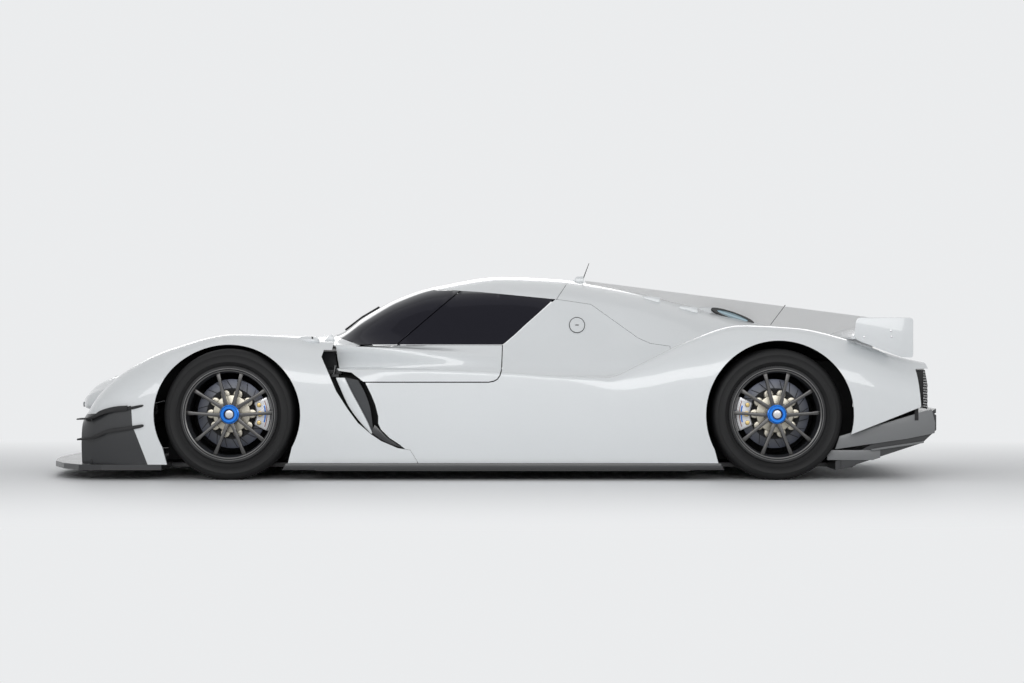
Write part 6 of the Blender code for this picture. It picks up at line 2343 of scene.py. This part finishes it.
@dataclass
class Studio:
    """Floor, soft lamps, world and camera."""

    camera_at: Triple = (0.15, -12.97, 0.748)
    lens: float = 78.4
    pale: Triple = (0.83, 0.84, 0.85)
    floor_tint: Triple = (0.93, 0.94, 0.95)
    world_level: float = 0.42
    aim: Triple = (0, 0, 0.5)
    lamps: tuple[tuple[str, Triple, Pair, float], ...] = (
        ("overhead", (0.0, 0.0, 4.2), (7.0, 2.6), 16.0),
        ("left_wash", (0.0, -6.0, 2.2), (8.0, 1.6), 132.0),
        ("right_wash", (0.0, 6.0, 2.6), (8.0, 1.6), 80.0),
    )

    def floor(self) -> None:
        """Large plain floor that fades into the background's colour."""
        bm = bmesh.new()
        bmesh.ops.create_circle(bm, cap_ends=True, segments=96, radius=60.0)
        obj = held("studio_floor", bm)
        recipe = Recipe("plain_floor")
        across, along, _ = recipe.axes(recipe.place())
        radius = (across * across * 0.25 + along * along).math("SQRT")
        recipe.set(Base_Color=self.floor_tint, Roughness=0.6)
        glow = recipe.node("ShaderNodeEmission", Color=self.pale, Strength=1.0)
        paths = recipe.node("ShaderNodeLightPath")
        seen = recipe.wire(paths, "Is Camera Ray").math("MAXIMUM", recipe.wire(paths, "Is Glossy Ray"))
        far = recipe.spread(radius, 1.3, 4.2)
        recipe.show(far * seen, glow)
        obj.data.materials.append(recipe.material)

    def lamp(self, name: str, place: Triple, size: Pair, power: float) -> None:
        """A soft rectangular lamp.

        Args:
            name: the lamp's name.
            place: where it hangs.
            size: its width and height.
            power: in watts.
        """
        data = bpy.data.lights.new(name, "AREA")
        data.shape = "RECTANGLE"
        data.size, data.size_y = size
        data.energy = power
        obj = bpy.data.objects.new(name, data)
        bpy.context.scene.collection.objects.link(obj)
        obj.location = place
        obj.rotation_euler = (Vector(self.aim) - Vector(place)).to_track_quat("-Z", "Y").to_euler()

    def world(self) -> None:
        """Even light all round, with the pale background for what the camera and mirrors see."""
        world = bpy.data.worlds.new("studio")
        bpy.context.scene.world = world
        world.use_nodes = True
        tree = world.node_tree
        tree.nodes.clear()
        output = tree.nodes.new("ShaderNodeOutputWorld")
        light = tree.nodes.new("ShaderNodeBackground")
        light.inputs["Color"].default_value = (*self.pale, 1.0)
        light.inputs["Strength"].default_value = self.world_level
        seen = tree.nodes.new("ShaderNodeBackground")
        seen.inputs["Color"].default_value = (*self.pale, 1.0)
        seen.inputs["Strength"].default_value = 1.0
        paths = tree.nodes.new("ShaderNodeLightPath")
        either = Wire(tree, paths.outputs["Is Camera Ray"])
        for kind in ("Is Glossy Ray", "Is Transmission Ray"):
            either = either.math("MAXIMUM", Wire(tree, paths.outputs[kind]))
        mixed = tree.nodes.new("ShaderNodeMixShader")
        tree.links.new(either.socket, mixed.inputs[0])
        tree.links.new(light.outputs[0], mixed.inputs[1])
        tree.links.new(seen.outputs[0], mixed.inputs[2])
        tree.links.new(mixed.outputs[0], output.inputs["Surface"])

    def camera(self) -> None:
        """Camera at the photograph's viewing angle."""
        data = bpy.data.cameras.new("camera")
        data.lens = self.lens
        data.sensor_width = 36.0
        data.clip_end = 200.0
        obj = bpy.data.objects.new("camera", data)
        bpy.context.scene.collection.objects.link(obj)
        obj.location = self.camera_at
        obj.rotation_euler = (math.pi / 2, 0.0, 0.0)
        bpy.context.scene.camera = obj

    def build(self) -> None:
        """The whole studio."""
        self.floor()
        self.world()
        for lamp in self.lamps:
            self.lamp(*lamp)
        self.camera()
        bpy.context.scene.view_settings.view_transform = "Standard"


def corners(box: Iterable) -> list[list[float]]:
    """Two corners as plain lists of numbers."""
    return [[float(c) for c in corner] for corner in box]


def main() -> None:
    """Builds the car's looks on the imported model."""
    logging.basicConfig(level=logging.INFO, format="%(name)s: %(message)s")
    for obj in list(bpy.data.objects):
        bpy.data.objects.remove(obj)
    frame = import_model()
    shell = BodyShell()
    shell.build()
    Glazing(shell).build()
    for end in End:
        for side in Side:
            Wheel(end, side).build()
    SkinDetails(shell).build()
    Tail(shell).build()
    Headlamps(shell).build()
    for side in Side:
        Seat(side).build()
    Controls().build()
    CarriedNodes(frame["nodes"]).build()
    Studio().build()


if __name__ == "__main__":
    main()
